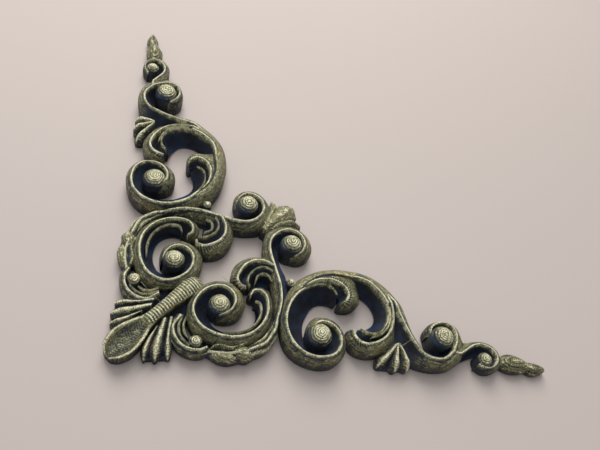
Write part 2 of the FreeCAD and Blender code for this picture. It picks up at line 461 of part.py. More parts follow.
def half_members():
    """The members of the arm along X, in the order in which they keep their full shape."""
    eyes = {name: boss(*size, EYE_FLARE) for name, size in EYES.items()}
    runs = {name: relief(ribs, PROFILE[name], TURNS.get(name)) for name, ribs in RUNS.items()}
    domes = {name: relief(ribs, (CONVEX, CONVEX)) for name, ribs in DOMES.items()}
    beads = {name: boss(*size, 1.0) for name, size in BEADS.items()}
    fans = {"shell": lobed(SHELL_LOBES, SHELL_WEB), "fronds": lobed(FRONDS, FROND_WEB)}
    return {**eyes, **runs, **domes, **fans, **beads}


def apart(solid, earlier):
    """The part of a member that no earlier member fills."""
    for other in earlier:
        if not solid.BoundBox.intersect(other.BoundBox):
            continue
        rest = solid.cut(other)
        pieces = [piece for piece in rest.Solids if piece.Volume > SLIVER]
        if pieces:
            solid = max(pieces, key=lambda piece: piece.Volume)
    return solid


def export(solid, name):
    """Write a member, measured from the middle of the back's bounding square."""
    solid.translated(V(-ARM / 2, -ARM / 2, 0)).exportStep(f"parts/{name}.step")


def main():
    os.makedirs("parts", exist_ok=True)
    mirror_plane = V(1, -1, 0)
    centre = {
        "centre_leaf": relief(across(CENTRE_LEAF), (CONVEX, CONVEX)),
        "fan_lobe": relief(across(FAN_LOBE), (CONVEX, CONVEX)),
    }
    placed = []
    for name, solid in half_members().items():
        if name == FIRST_BELOW_CENTRE:
            for centre_name, centre_solid in centre.items():
                both = placed + [piece.mirror(V(0, 0, 0), mirror_plane) for piece in placed]
                piece = apart(centre_solid, both)
                placed.append(piece)
                export(piece, centre_name)
        piece = apart(solid, placed)
        placed.append(piece)
        export(piece, f"{name}_x")
        export(piece.mirror(V(0, 0, 0), mirror_plane), f"{name}_y")
        print(f"{name:18s} valid {piece.isValid()} volume {piece.Volume:7.1f}")


if __name__ == "__main__":
    main()
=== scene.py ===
import math

import bpy
import numpy as np
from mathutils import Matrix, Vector, noise


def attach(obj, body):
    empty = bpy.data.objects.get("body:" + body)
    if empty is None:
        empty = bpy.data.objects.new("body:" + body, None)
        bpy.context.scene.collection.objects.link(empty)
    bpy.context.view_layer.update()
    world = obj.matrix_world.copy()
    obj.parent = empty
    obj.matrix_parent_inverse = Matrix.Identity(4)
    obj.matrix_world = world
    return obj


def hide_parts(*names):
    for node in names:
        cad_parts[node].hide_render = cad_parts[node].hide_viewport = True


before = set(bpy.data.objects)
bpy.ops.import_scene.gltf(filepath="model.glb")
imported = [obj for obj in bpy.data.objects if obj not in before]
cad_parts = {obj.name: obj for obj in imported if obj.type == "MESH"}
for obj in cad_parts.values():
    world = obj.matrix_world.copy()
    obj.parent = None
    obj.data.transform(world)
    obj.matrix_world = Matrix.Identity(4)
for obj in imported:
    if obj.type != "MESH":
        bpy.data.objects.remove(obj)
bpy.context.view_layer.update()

# The tables are in millimetres from the outer corner of the ornament, as in the CAD source, and
# the frame is in metres from the middle of its back.
MM = 0.001
ARM = 150.0
SLOPE_LIMIT = 1.6      # longest tangent at a rib, as a multiple of the shorter slope beside it
SHORTEST_STEP = 0.8    # least spacing of the ribs in the curves' own parameter
ROW_STEP = 0.3         # spacing of the mesh rows along a member
FLANK_POINTS = 15      # mesh points from the ridge to an edge
TOP = 10.3             # greatest height of the relief, the top of the CAD box
LAYER = 0.2            # height of one fine wave on the surface, assumed as a printed layer
RING_STEP = 0.72       # spacing of the rings on a volute eye, judged
CARVED_ABOVE = 1.5     # surfaces below this height carry no carving
ROUGH_ABOVE = 0.5      # surfaces below this height stay flat
ROUGHNESS = 0.045      # height of the hand-worked unevenness
FADE = 0.05            # share of a run over which carved strokes fade at each end
BEAD_PITCH = 0.62      # spacing of the fine beads along a ridge
STROKE_PITCH = 0.75    # spacing of the strokes beside a ridge
NICK_PITCH = 0.7       # spacing of the nicks across the husks
BOSS_SEGMENTS = 72     # mesh points round a volute eye
THREAD_SAG = 0.3       # how far a thread of plastic hangs at its middle
THREAD_RADIUS = 0.06
THREAD_ROWS = 9
THREAD_CORNERS = 6

# A member is a list of ribs. A rib is (left edge, ridge, right edge), each point (x, y, z), and
# left and right are as seen when walking from the first rib to the last along the ridge.

BIG_SCROLL = [
    ((62.9, 11.6, 4.4), (64.6, 11.2, 7.2), (65.2, 11.2, 7.0)),
    ((63.6, 14.2, 5.0), (65.4, 12.9, 8.4), (66.0, 12.5, 8.0)),
    ((66.5, 17.0, 5.0), (67.7, 14.2, 8.8), (67.6, 13.3, 6.0)),
    ((71.6, 16.7, 5.0), (70.6, 13.5, 9.0), (69.4, 12.6, 4.6)),
    ((75.1, 13.6, 5.0), (72.9, 11.3, 9.0), (70.3, 11.3, 3.8)),
    ((76.3, 9.0, 5.0), (73.7, 8.5, 9.0), (70.5, 9.6, 3.4)),
    ((75.4, 4.2, 5.0), (73.2, 5.7, 9.0), (69.8, 7.9, 3.2)),
    ((72.6, 1.2, 5.5), (71.3, 3.5, 9.0), (68.6, 6.8, 3.0)),
    ((69.2, 0.1, 5.5), (68.3, 2.4, 9.0), (67.0, 6.4, 2.8)),
    ((65.0, 0.3, 5.5), (64.6, 2.4, 9.0), (65.2, 6.9, 2.4)),
    ((60.2, 2.1, 5.5), (60.8, 4.0, 9.0), (64.0, 8.2, 1.8)),
    ((56.6, 5.3, 5.5), (58.0, 7.0, 9.0), (63.2, 10.0, 1.4)),
    ((54.8, 9.6, 5.5), (56.4, 11.0, 9.0), (62.7, 12.8, 1.0)),
    ((54.2, 14.4, 5.5), (56.1, 14.8, 9.1), (63.0, 16.2, 1.0)),
    ((54.8, 19.4, 5.5), (57.0, 18.7, 9.3), (64.4, 19.4, 1.0)),
    ((56.6, 24.0, 5.5), (58.8, 22.1, 9.4), (66.0, 21.9, 1.0)),
    ((59.0, 28.3, 5.5), (61.4, 24.8, 9.6), (67.8, 23.4, 1.0)),
    ((60.8, 29.8, 5.2), (62.8, 26.0, 9.1), (68.4, 23.5, 0.9)),
]
EYE_LEAF = [
    ((61.2, 25.4, 9.2), (61.4, 24.8, 9.6), (67.8, 23.4, 1.0)),
    ((63.6, 27.1, 7.5), (64.3, 26.6, 9.7), (69.0, 23.8, 1.0)),
    ((66.6, 28.2, 6.0), (67.2, 27.6, 9.6), (70.4, 23.9, 1.0)),
    ((70.4, 28.5, 5.0), (70.2, 27.7, 9.4), (71.8, 23.6, 1.5)),
    ((73.6, 27.2, 4.5), (72.6, 26.6, 9.0), (73.0, 23.2, 3.0)),
    ((75.1, 24.4, 5.0), (74.0, 24.6, 8.4), (74.2, 22.6, 5.0)),
]
HANGING_LEAF = [
    ((61.6, 26.5, 9.3), (62.2, 26.1, 9.6), (62.4, 25.9, 9.2)),
    ((63.9, 29.0, 9.6), (64.2, 27.5, 9.8), (64.2, 27.1, 7.5)),
    ((67.0, 30.8, 9.8), (66.4, 28.7, 9.9), (66.6, 28.2, 6.0)),
    ((70.6, 31.5, 9.9), (69.2, 29.4, 9.9), (69.4, 28.5, 5.0)),
    ((75.0, 31.4, 9.9), (72.2, 29.4, 9.9), (71.8, 28.3, 4.5)),
    ((79.2, 30.3, 9.4), (75.0, 28.4, 9.6), (73.6, 27.2, 4.0)),
    ((82.4, 26.8, 5.5), (77.2, 26.2, 9.4), (75.2, 25.6, 4.0)),
    ((82.3, 22.9, 5.0), (77.6, 24.3, 9.2), (75.6, 24.4, 4.5)),
    ((79.4, 20.9, 5.0), (76.7, 22.6, 9.0), (75.3, 23.4, 5.0)),
    ((75.8, 20.8, 5.0), (75.0, 21.6, 8.4), (74.6, 22.3, 5.5)),
]
ARCH = [
    ((57.8, 26.1, 5.3), (59.3, 24.3, 8.9), (60.2, 23.0, 9.0)),
    ((59.0, 28.3, 5.5), (60.8, 25.675, 9.5), (61.4, 24.8, 9.4)),
    ((63.0, 31.8, 5.5), (64.6, 29.0, 9.9), (64.9, 28.5, 9.4)),
    ((67.6, 34.2, 5.5), (68.6, 31.0, 10.1), (68.8, 30.4, 9.6)),
    ((73.0, 35.4, 5.5), (73.2, 31.7, 10.1), (73.2, 31.0, 9.4)),
    ((78.6, 35.6, 5.5), (78.4, 31.0, 10.0), (78.3, 30.2, 7.8)),
    ((83.6, 34.9, 5.5), (81.8, 30.8, 9.9), (81.4, 28.8, 4.8)),
    ((88.4, 33.1, 5.5), (85.2, 29.6, 9.8), (84.0, 27.5, 2.2)),
    ((92.6, 30.0, 5.5), (87.8, 27.4, 9.7), (86.2, 26.0, 1.0)),
    ((95.6, 26.4, 5.5), (89.8, 24.8, 9.6), (87.8, 24.0, 1.0)),
    ((97.7, 22.5, 5.5), (91.2, 22.0, 9.5), (88.7, 21.8, 1.0)),
]
INNER_FROND = [
    ((92.1, 22.0, 9.2), (91.2, 22.0, 9.5), (88.7, 21.8, 1.0)),
    ((92.2, 17.8, 7.0), (91.4, 18.0, 9.4), (88.8, 19.4, 1.0)),
    ((91.2, 14.2, 6.0), (90.2, 14.6, 9.2), (87.8, 17.2, 1.0)),
    ((89.3, 11.4, 5.4), (88.2, 12.0, 9.0), (85.8, 15.6, 1.4)),
    ((85.8, 9.7, 5.0), (85.3, 11.0, 8.8), (83.9, 14.6, 2.0)),
    ((82.2, 10.0, 5.0), (82.8, 11.6, 8.4), (82.4, 14.2, 3.0)),
    ((80.4, 12.0, 5.4), (81.4, 13.0, 7.6), (81.4, 14.0, 4.0)),
]
OUTER_FROND = [
    ((92.4, 25.9, 8.2), (91.4, 25.6, 8.9), (90.8, 25.4, 8.9)),
    ((93.2, 22.1, 9.2), (92.7, 22.0, 9.5), (92.1, 22.0, 9.2)),
    ((94.2, 17.2, 4.6), (92.8, 17.0, 9.4), (92.1, 17.4, 7.0)),
    ((94.4, 13.6, 3.2), (92.0, 14.0, 9.2), (91.1, 14.2, 6.0)),
    ((93.8, 9.4, 3.0), (90.5, 11.4, 9.0), (89.4, 11.6, 5.4)),
    ((91.4, 6.4, 3.0), (88.0, 9.2, 9.0), (87.2, 10.0, 5.0)),
    ((86.8, 4.7, 5.0), (85.1, 7.8, 9.0), (84.8, 9.4, 5.0)),
    ((82.4, 4.5, 5.0), (82.3, 7.3, 9.0), (82.6, 9.5, 5.0)),
    ((78.6, 6.2, 5.0), (80.1, 8.3, 8.8), (81.0, 10.4, 5.0)),
    ((76.8, 9.4, 4.8), (79.0, 10.2, 8.4), (80.4, 11.3, 5.4)),
    ((77.0, 12.8, 4.6), (78.7, 12.2, 7.8), (80.2, 12.2, 5.4)),
]
MEDIUM_SCROLL = [
    ((92.8, 29.6, 5.3), (90.4, 28.6, 8.1), (90.0, 28.3, 8.1)),
    ((95.5, 26.2, 5.4), (92.4, 25.2, 8.9), (91.8, 24.9, 8.8)),
    ((97.7, 22.5, 5.5), (94.2, 22.2, 9.5), (93.2, 22.1, 9.2)),
    ((98.9, 18.6, 5.5), (95.1, 18.4, 9.4), (94.2, 18.0, 5.0)),
    ((99.8, 15.2, 5.0), (96.4, 14.8, 9.2), (94.4, 14.0, 3.4)),
    ((100.8, 12.2, 4.4), (97.9, 11.0, 9.0), (94.1, 9.4, 3.0)),
    ((102.3, 9.8, 3.4), (99.6, 7.6, 9.0), (96.4, 5.0, 3.0)),
    ((104.4, 8.0, 3.0), (101.8, 4.9, 9.0), (99.4, 2.2, 4.5)),
    ((106.5, 7.3, 2.8), (104.6, 3.4, 9.0), (103.6, 0.8, 5.5)),
    ((108.8, 6.9, 2.8), (107.8, 3.1, 9.0), (108.4, 0.4, 5.5)),
    ((110.8, 7.2, 3.0), (110.6, 4.3, 9.0), (113.0, 1.3, 5.5)),
    ((112.4, 8.4, 3.2), (112.9, 6.5, 9.0), (116.2, 4.0, 6.0)),
    ((113.2, 10.0, 3.6), (114.3, 9.3, 9.0), (117.5, 8.2, 6.0)),
    ((113.3, 11.6, 4.0), (114.9, 12.0, 9.0), (118.0, 12.0, 5.6)),
    ((112.4, 13.2, 4.4), (113.9, 14.5, 9.0), (116.8, 15.4, 5.0)),
    ((110.6, 14.4, 5.0), (111.5, 15.9, 8.9), (113.0, 17.4, 4.8)),
    ((108.6, 14.3, 6.0), (108.6, 15.6, 8.6), (108.4, 17.2, 4.8)),
    ((107.2, 13.5, 7.4), (106.6, 13.8, 8.0), (105.3, 14.5, 4.6)),
    ((107.4, 12.0, 6.8), (106.8, 12.0, 7.0), (105.2, 11.9, 4.4)),
]
SMALL_SCROLL = [
    ((114.2, 7.6, 7.6), (113.5, 5.4, 8.5), (112.6, 3.4, 6.4)),
    ((116.4, 8.4, 5.6), (115.2, 5.2, 8.6), (114.0, 2.2, 5.0)),
    ((117.9, 9.2, 5.4), (116.9, 6.0, 8.3), (116.6, 3.9, 3.0)),
    ((120.0, 10.2, 5.0), (119.4, 7.6, 8.0), (119.6, 5.3, 1.6)),
    ((122.8, 11.1, 4.6), (122.0, 8.9, 7.7), (122.3, 6.4, 1.4)),
    ((126.6, 11.2, 4.4), (124.9, 9.2, 7.4), (124.6, 6.9, 2.0)),
    ((129.8, 10.0, 4.2), (127.6, 8.2, 7.2), (126.2, 6.5, 2.4)),
    ((131.8, 7.6, 4.0), (129.3, 6.2, 7.1), (127.4, 5.4, 2.8)),
    ((132.3, 4.8, 4.0), (129.5, 4.1, 7.0), (127.5, 4.2, 3.0)),
    ((131.3, 2.4, 3.8), (128.4, 2.4, 6.8), (126.8, 2.9, 3.2)),
    ((128.8, 0.7, 3.6), (126.4, 1.5, 6.6), (125.9, 2.3, 3.4)),
    ((125.4, 0.5, 3.4), (124.6, 1.8, 6.2), (124.7, 2.5, 4.0)),
    ((122.2, 2.4, 3.2), (123.2, 3.0, 5.6), (123.5, 3.4, 4.6)),
]
CORNER_SCROLL = [
    ((33.2, 14.6, 4.0), (34.6, 15.3, 7.6), (34.8, 15.7, 7.2)),
    ((36.6, 14.2, 4.2), (37.0, 16.3, 8.4), (36.0, 16.9, 5.6)),
    ((40.6, 15.6, 4.6), (38.8, 18.4, 8.9), (37.2, 18.4, 4.4)),
    ((42.9, 19.4, 5.0), (39.2, 20.9, 9.0), (37.2, 20.0, 3.8)),
    ((42.2, 24.0, 5.0), (38.0, 23.4, 9.0), (36.3, 21.3, 3.4)),
    ((38.6, 27.6, 5.4), (35.6, 24.9, 9.0), (34.8, 21.9, 3.0)),
    ((33.6, 28.4, 5.4), (32.4, 24.8, 9.0), (32.8, 21.5, 2.8)),
    ((29.2, 26.4, 6.0), (29.4, 23.2, 9.0), (31.5, 20.4, 2.4)),
    ((25.9, 22.6, 6.0), (27.2, 20.4, 9.0), (31.1, 18.6, 2.0)),
    ((24.2, 18.0, 5.5), (26.2, 17.0, 9.0), (31.4, 16.6, 1.4)),
    ((24.6, 13.2, 5.0), (27.0, 13.6, 9.0), (32.8, 14.2, 1.0)),
    ((26.9, 9.4, 5.0), (29.4, 10.6, 9.0), (34.8, 12.8, 1.0)),
    ((31.4, 6.6, 5.0), (33.0, 8.7, 9.0), (37.2, 12.0, 1.0)),
    ((36.6, 5.2, 5.0), (37.0, 7.8, 9.0), (39.8, 11.9, 1.0)),
    ((41.6, 5.4, 5.0), (41.0, 8.0, 9.0), (42.6, 12.4, 1.0)),
    ((46.4, 7.2, 5.0), (44.9, 9.6, 9.0), (45.0, 13.8, 1.0)),
    ((50.0, 10.8, 5.0), (47.9, 12.6, 9.0), (46.5, 16.0, 1.0)),
    ((51.7, 15.4, 5.0), (49.5, 16.0, 9.0), (47.0, 18.2, 1.0)),
    ((52.2, 20.0, 5.0), (49.9, 19.6, 9.0), (46.6, 20.4, 1.5)),
    ((51.2, 24.4, 5.0), (49.2, 22.6, 9.0), (46.0, 21.6, 3.0)),
    ((48.4, 26.8, 5.0), (47.4, 24.2, 8.8), (45.6, 22.2, 4.0)),
    ((45.2, 26.4, 4.6), (45.6, 24.2, 8.4), (45.2, 22.4, 5.0)),
    ((43.6, 23.8, 4.0), (44.6, 22.8, 7.6), (44.9, 22.2, 6.0)),
]
CORNER_STEM = [
    ((51.4, 11.6, 5.0), (52.2, 12.0, 7.2), (53.0, 11.4, 5.8)),
    ((52.2, 14.5, 5.0), (53.2, 15.0, 8.4), (54.2, 15.0, 7.0)),
    ((52.6, 19.5, 4.6), (54.4, 19.0, 8.8), (55.6, 19.6, 6.0)),
    ((52.4, 24.0, 4.0), (54.8, 23.0, 9.0), (57.0, 23.6, 5.0)),
    ((51.8, 27.6, 4.0), (54.5, 27.0, 9.0), (57.4, 27.6, 4.6)),
    ((51.0, 31.0, 4.5), (53.6, 31.0, 9.0), (57.0, 32.0, 4.4)),
    ((50.2, 35.2, 4.6), (52.5, 35.0, 9.0), (55.6, 36.2, 3.6)),
    ((49.3, 39.6, 5.0), (51.5, 39.4, 9.0), (55.0, 40.2, 3.0)),
    ((49.2, 43.8, 5.0), (51.4, 43.2, 9.0), (55.3, 43.6, 3.0)),
    ((50.2, 48.2, 6.0), (52.7, 46.0, 9.0), (56.2, 45.5, 3.0)),
    ((53.6, 51.0, 6.0), (55.2, 48.2, 9.0), (57.4, 46.6, 3.2)),
    ((58.4, 52.2, 5.4), (58.1, 49.1, 9.0), (59.0, 46.6, 3.4)),
    ((62.6, 51.0, 5.0), (61.1, 48.2, 9.0), (60.8, 45.9, 3.8)),
    ((66.0, 47.8, 5.0), (63.0, 45.6, 9.0), (61.9, 44.3, 4.2)),
    ((66.9, 43.8, 4.8), (63.4, 43.0, 8.8), (62.0, 42.7, 4.8)),
    ((65.6, 40.4, 4.6), (62.2, 40.8, 8.2), (61.2, 41.1, 6.0)),
    ((62.2, 38.6, 4.4), (60.3, 39.7, 7.0), (59.9, 40.4, 6.4)),
    ((58.8, 38.9, 4.0), (58.6, 39.9, 5.8), (58.6, 40.5, 5.6)),
]
CORNER_LEAF = [
    ((51.6, 37.4, 5.0), (52.6, 34.0, 8.8), (52.2, 33.0, 8.0)),
    ((48.6, 38.6, 5.0), (49.6, 35.3, 9.0), (49.6, 34.2, 6.4)),
    ((44.4, 38.4, 5.0), (46.0, 35.4, 9.0), (46.4, 34.2, 5.6)),
    ((40.4, 36.0, 5.0), (43.0, 33.8, 9.0), (44.0, 32.8, 5.2)),
    ((38.2, 32.0, 4.8), (41.0, 31.0, 9.0), (42.3, 30.6, 5.0)),
    ((38.4, 28.2, 4.8), (40.2, 28.2, 8.8), (41.7, 28.6, 5.0)),
    ((40.8, 25.8, 4.8), (41.2, 26.4, 8.4), (42.2, 27.3, 5.4)),
    ((43.2, 25.2, 4.8), (42.8, 26.0, 7.8), (42.8, 26.8, 6.0)),
]
CORNER_LEAF_LOBE = [
    ((52.2, 33.0, 8.0), (51.9, 32.0, 8.8), (51.8, 31.0, 6.0)),
    ((49.6, 34.2, 6.2), (49.3, 33.2, 9.0), (51.2, 28.6, 2.4)),
    ((46.4, 34.2, 5.6), (46.4, 32.6, 9.0), (49.2, 28.2, 2.4)),
    ((44.0, 32.8, 5.2), (44.8, 31.0, 9.0), (47.0, 27.8, 2.4)),
    ((42.3, 30.6, 5.0), (43.8, 29.2, 8.8), (45.8, 27.4, 3.0)),
    ((41.9, 28.2, 5.0), (43.6, 27.4, 8.4), (45.0, 26.9, 4.4)),
    ((43.0, 26.8, 5.0), (44.2, 26.4, 7.8), (44.9, 26.6, 6.0)),
]
SMALL_VOLUTE = [
    ((21.4, 15.6, 6.0), (22.6, 15.0, 6.8), (23.8, 14.6, 6.0)),
    ((18.9, 11.4, 5.0), (20.4, 11.2, 6.5), (24.4, 11.4, 2.6)),
    ((19.6, 7.6, 4.6), (21.2, 8.2, 6.3), (25.6, 9.2, 2.4)),
    ((21.8, 4.4, 4.4), (23.0, 5.8, 6.3), (25.8, 7.0, 3.0)),
    ((25.4, 2.5, 4.2), (25.8, 4.3, 6.3), (26.9, 5.0, 3.6)),
    ((29.4, 2.3, 4.0), (28.9, 4.2, 6.2), (28.3, 4.9, 3.8)),
    ((32.2, 4.0, 4.0), (31.0, 5.2, 6.0), (29.2, 6.0, 4.2)),
]
HUSK_LOW = [
    ((30.8, 3.2, 3.6), (31.4, 4.0, 4.8), (31.6, 4.8, 4.4)),
    ((34.4, 1.4, 4.0), (34.6, 3.2, 6.0), (34.4, 5.2, 5.0)),
    ((38.6, 1.1, 4.2), (38.4, 3.2, 6.4), (38.2, 4.9, 5.0)),
    ((42.6, 1.7, 4.2), (42.0, 3.8, 6.4), (41.6, 5.2, 5.2)),
    ((45.0, 3.0, 4.0), (44.4, 4.6, 6.2), (44.0, 5.8, 5.2)),
]
HUSK_HIGH = [
    ((43.6, 2.2, 4.2), (43.8, 4.2, 6.4), (43.8, 5.6, 5.4)),
    ((47.4, 3.3, 4.4), (46.6, 5.2, 7.0), (46.2, 7.0, 6.0)),
    ((50.8, 5.6, 4.8), (49.8, 7.4, 7.4), (48.8, 9.2, 6.4)),
    ((53.2, 9.4, 5.2), (52.2, 10.6, 7.8), (50.9, 11.6, 7.0)),
    ((54.0, 14.2, 5.6), (53.0, 14.4, 8.0), (52.1, 14.4, 7.4)),
]
FRONDS = [
    [  # nearest the centre leaf
        ((14.9, 9.6, 6.6), (15.3, 10.4, 7.4), (16.0, 11.0, 6.8)),
        ((12.2, 6.2, 4.6), (13.3, 6.0, 6.8), (14.3, 5.8, 4.8)),
        ((11.2, 2.6, 3.4), (12.3, 2.2, 5.4), (13.4, 2.2, 3.6)),
        ((11.8, 1.2, 3.0), (12.3, 1.0, 3.6), (12.8, 1.1, 3.0)),
    ],
    [  # the broad middle one
        ((16.6, 12.4, 6.8), (17.6, 13.2, 7.8), (18.6, 13.4, 7.0)),
        ((14.6, 7.8, 5.0), (16.4, 7.6, 7.2), (18.0, 7.6, 5.0)),
        ((13.8, 3.2, 3.8), (15.7, 2.9, 6.0), (17.5, 3.2, 3.8)),
        ((14.8, 1.0, 3.0), (15.6, 0.8, 3.8), (16.4, 1.0, 3.0)),
    ],
    [  # nearest the small volute
        ((18.9, 13.8, 7.0), (19.6, 13.8, 7.6), (20.2, 13.6, 7.0)),
        ((18.2, 8.2, 5.0), (19.0, 8.2, 6.6), (19.7, 8.4, 5.2)),
        ((17.8, 3.8, 3.8), (19.2, 3.8, 5.6), (20.6, 4.0, 4.0)),
        ((18.6, 1.9, 3.0), (19.4, 1.7, 3.6), (20.2, 1.9, 3.0)),
    ],
]
COVE_WEB = [
    (19.0, 13.0), (24.0, 12.4), (25.2, 15.0), (25.0, 18.4), (25.6, 21.4), (23.6, 20.6),
    (20.4, 17.6), (18.2, 15.2),
]
COVE_HEIGHT = 3.4
FROND_WEB = [(11.9, 1.4), (20.2, 2.2), (20.4, 8.4), (20.0, 13.6), (16.2, 12.6), (12.6, 7.0)]
SHELL_LOBES = [
    [
        ((92.3, 8.1, 7.0), (92.9, 7.6, 8.8), (93.4, 7.1, 7.6)),
        ((88.8, 5.4, 3.8), (90.0, 4.4, 7.4), (91.4, 3.5, 3.9)),
        ((86.6, 3.8, 3.2), (87.8, 2.4, 6.0), (89.2, 1.4, 3.4)),
        ((86.4, 2.2, 3.0), (87.0, 1.6, 3.6), (87.8, 0.9, 3.0)),
    ],
    [
        ((92.8, 7.6, 7.6), (93.3, 7.8, 9.0), (93.9, 7.7, 7.6)),
        ((91.2, 3.6, 3.8), (92.9, 3.6, 7.6), (94.6, 3.6, 3.8)),
        ((90.8, 1.3, 3.4), (92.8, 1.2, 6.2), (94.8, 1.2, 3.4)),
        ((91.8, 0.2, 3.0), (92.8, 0.0, 3.8), (93.8, 0.2, 3.0)),
    ],
    [
        ((93.2, 7.2, 7.6), (93.8, 7.6, 8.8), (94.4, 8.1, 7.0)),
        ((94.4, 3.5, 3.9), (96.2, 4.0, 7.2), (97.4, 4.4, 3.8)),
        ((94.9, 1.2, 3.4), (96.9, 1.5, 6.0), (98.7, 2.2, 3.4)),
        ((96.2, 0.3, 3.0), (97.2, 0.3, 3.6), (98.0, 0.7, 3.0)),
    ],
]
SHELL_WEB = [(92.6, 8.4), (86.9, 3.0), (87.6, 1.2), (97.8, 0.8), (98.2, 3.0), (94.2, 8.4)]
WEB_HEIGHT = 2.6
MAIN_BUD = [
    ((130.6, 5.2, 2.6), (131.4, 4.6, 3.8), (131.2, 3.8, 2.6)),
    ((134.2, 7.3, 3.2), (134.4, 4.5, 6.0), (134.2, 1.7, 3.2)),
    ((138.2, 7.4, 3.2), (138.2, 4.3, 6.4), (138.2, 0.9, 3.2)),
    ((141.4, 5.8, 2.8), (141.2, 3.7, 5.6), (141.2, 1.4, 2.8)),
    ((143.6, 4.4, 2.0), (143.6, 3.5, 3.4), (143.6, 2.4, 2.0)),
]
TIP_BUD = [
    ((141.4, 4.9, 2.4), (142.0, 3.3, 4.4), (141.8, 1.7, 2.4)),
    ((143.8, 5.3, 2.4), (144.0, 3.1, 5.2), (144.0, 0.6, 2.4)),
    ((146.8, 4.7, 2.2), (146.8, 2.8, 4.9), (146.8, 0.8, 2.2)),
    ((148.8, 3.7, 1.8), (148.9, 2.6, 3.6), (148.8, 1.6, 1.8)),
    ((ARM - 0.3, 2.9, 1.4), (ARM, 2.5, 2.0), (ARM - 0.3, 2.1, 1.4)),
]
# The two members that lie on the mirror plane are given by (distance from the outer corner
# along x and y alike, half width across, ridge height, edge height).
CENTRE_LEAF = [
    (1.6, 1.7, 3.6, 4.4), (2.4, 3.2, 4.4, 5.6), (3.8, 4.3, 4.6, 6.0), (6.4, 4.8, 4.6, 6.4),
    (9.4, 3.9, 5.6, 6.8), (12.4, 2.4, 8.0, 7.0), (17.0, 2.0, 8.6, 7.4), (22.0, 2.5, 8.8, 7.6),
    (25.8, 3.0, 8.6, 7.2), (27.6, 2.6, 7.4, 6.0),
]
FAN_LOBE = [
    (49.4, 1.6, 7.8, 6.2), (51.4, 2.2, 9.0, 6.2), (54.2, 3.4, 9.6, 6.2), (57.0, 4.3, 9.5, 5.8),
    (59.0, 3.9, 8.6, 5.0), (60.3, 2.2, 6.6, 4.0),
]
FAN_SIDE_LOBE = [
    ((51.2, 50.6, 6.0), (51.8, 49.9, 7.6), (52.4, 49.2, 6.6)),
    ((54.8, 53.0, 6.0), (55.5, 52.0, 8.6), (56.2, 50.8, 6.4)),
    ((59.2, 54.6, 5.0), (59.8, 53.4, 8.0), (60.4, 52.0, 5.6)),
    ((62.6, 54.0, 4.0), (63.0, 53.2, 5.6), (63.2, 52.4, 4.4)),
]
# Volute eyes: (x, y) of the centre, radius of the dome, crown height, (x, y) lean of the crown
EYES = {
    "big_eye": (66.9, 9.8, 3.45, 10.1, (0.2, 0.1)),
    "medium_eye": (109.7, 10.8, 3.4, 10.3, (0.9, 0.2)),
    "small_eye": (125.3, 4.3, 2.2, 7.4, (0.1, 0.1)),
    "corner_eye": (34.3, 18.8, 3.0, 9.8, (0.0, 0.1)),
    "inner_eye": (58.7, 43.2, 3.2, 10.3, (0.4, 0.5)),
    "volute_eye": (27.4, 6.8, 1.8, 6.6, (0.0, 0.0)),
}
# Link beads where two scrolls touch: (x, y) of the centre, radius, crown height
BEADS = {
    "inner_bead": (58.5, 29.0, 1.7, 7.4),
    "outer_bead": (119.0, 10.6, 1.3, 5.6),
}
EYE_FLARE = 1.22       # radius of an eye at its foot over the radius in its table

# Fine carved lines beside the main ridges: the member they belong to and (x, y, z) points
FINE_LINES = [
    ("corner_scroll", [
        (36.0, 9.9, 6.9), (40.4, 9.9, 7.2), (44.2, 11.2, 7.6), (46.9, 14.0, 8.0),
        (48.0, 17.4, 8.2), (47.4, 20.2, 8.2), (46.0, 21.0, 7.8),
    ]),
    ("corner_leaf_lobe", [
        (51.9, 29.0, 7.6), (50.4, 30.8, 8.0), (48.4, 31.2, 8.2), (46.8, 30.2, 8.0),
        (46.2, 28.4, 7.6),
    ]),
    ("small_volute", [
        (23.0, 15.0, 7.0), (22.0, 11.6, 6.5), (22.6, 8.8, 6.0), (24.2, 6.9, 5.6), (26.0, 5.4, 5.4),
    ]),
    ("small_volute", [
        (24.2, 14.8, 6.9), (23.5, 12.2, 6.2), (24.0, 9.9, 5.6), (25.2, 8.4, 5.2),
    ]),
    ("outer_frond", [
        (92.0, 20.6, 9.4), (91.8, 16.6, 9.2), (90.2, 13.0, 9.0), (87.4, 10.8, 8.8),
        (84.6, 9.9, 8.6),
    ]),
]

# The two almond leaves of the low husk: spine, half widths, fall of height per width
HUSK_LEAVES = [
    ([(31.6, 3.5, 3.8), (34.4, 3.0, 5.9), (37.8, 2.4, 6.1), (41.6, 1.9, 4.0)],
     [0.5, 1.8, 2.0, 0.5], 0.8),
    ([(38.6, 4.4, 5.0), (41.2, 3.9, 6.9), (43.8, 3.5, 6.6), (46.0, 3.6, 4.4)],
     [0.7, 2.1, 2.3, 0.8], 0.8),
]
HUSK_RIM = [
    (31.6, 4.4, 5.2), (33.4, 5.5, 6.3), (36.0, 5.6, 6.6), (38.2, 4.9, 6.8), (40.6, 5.4, 7.0),
    (43.2, 6.4, 7.1),
]
# Threads of plastic left by the print: the node they hang on, start and end in its arm's own axes
HAIRS = {
    "shell_x": [((94.6, 7.0, 8.3), (98.6, 9.6, 9.0))],
    "corner_leaf_x": [((34.6, 28.6, 8.8), (38.6, 27.2, 6.0))],
    "small_volute_y": [((26.2, 9.0, 6.2), (18.6, 15.6, 7.8))],
}
# A run shaped like an S: its flanks swap kinds round this rib
TURNS = {"medium_scroll": 7}
# The first and last ribs between which the ridge line stands out, where it isn't the whole run
SHOWS = {
    "arch": (5.2, 99.0), "big_scroll": (0.8, 99.0), "corner_stem": (-1.0, 16.4),
    "medium_scroll": (0.6, 18.0), "hanging_leaf": (0.0, 8.6),
}

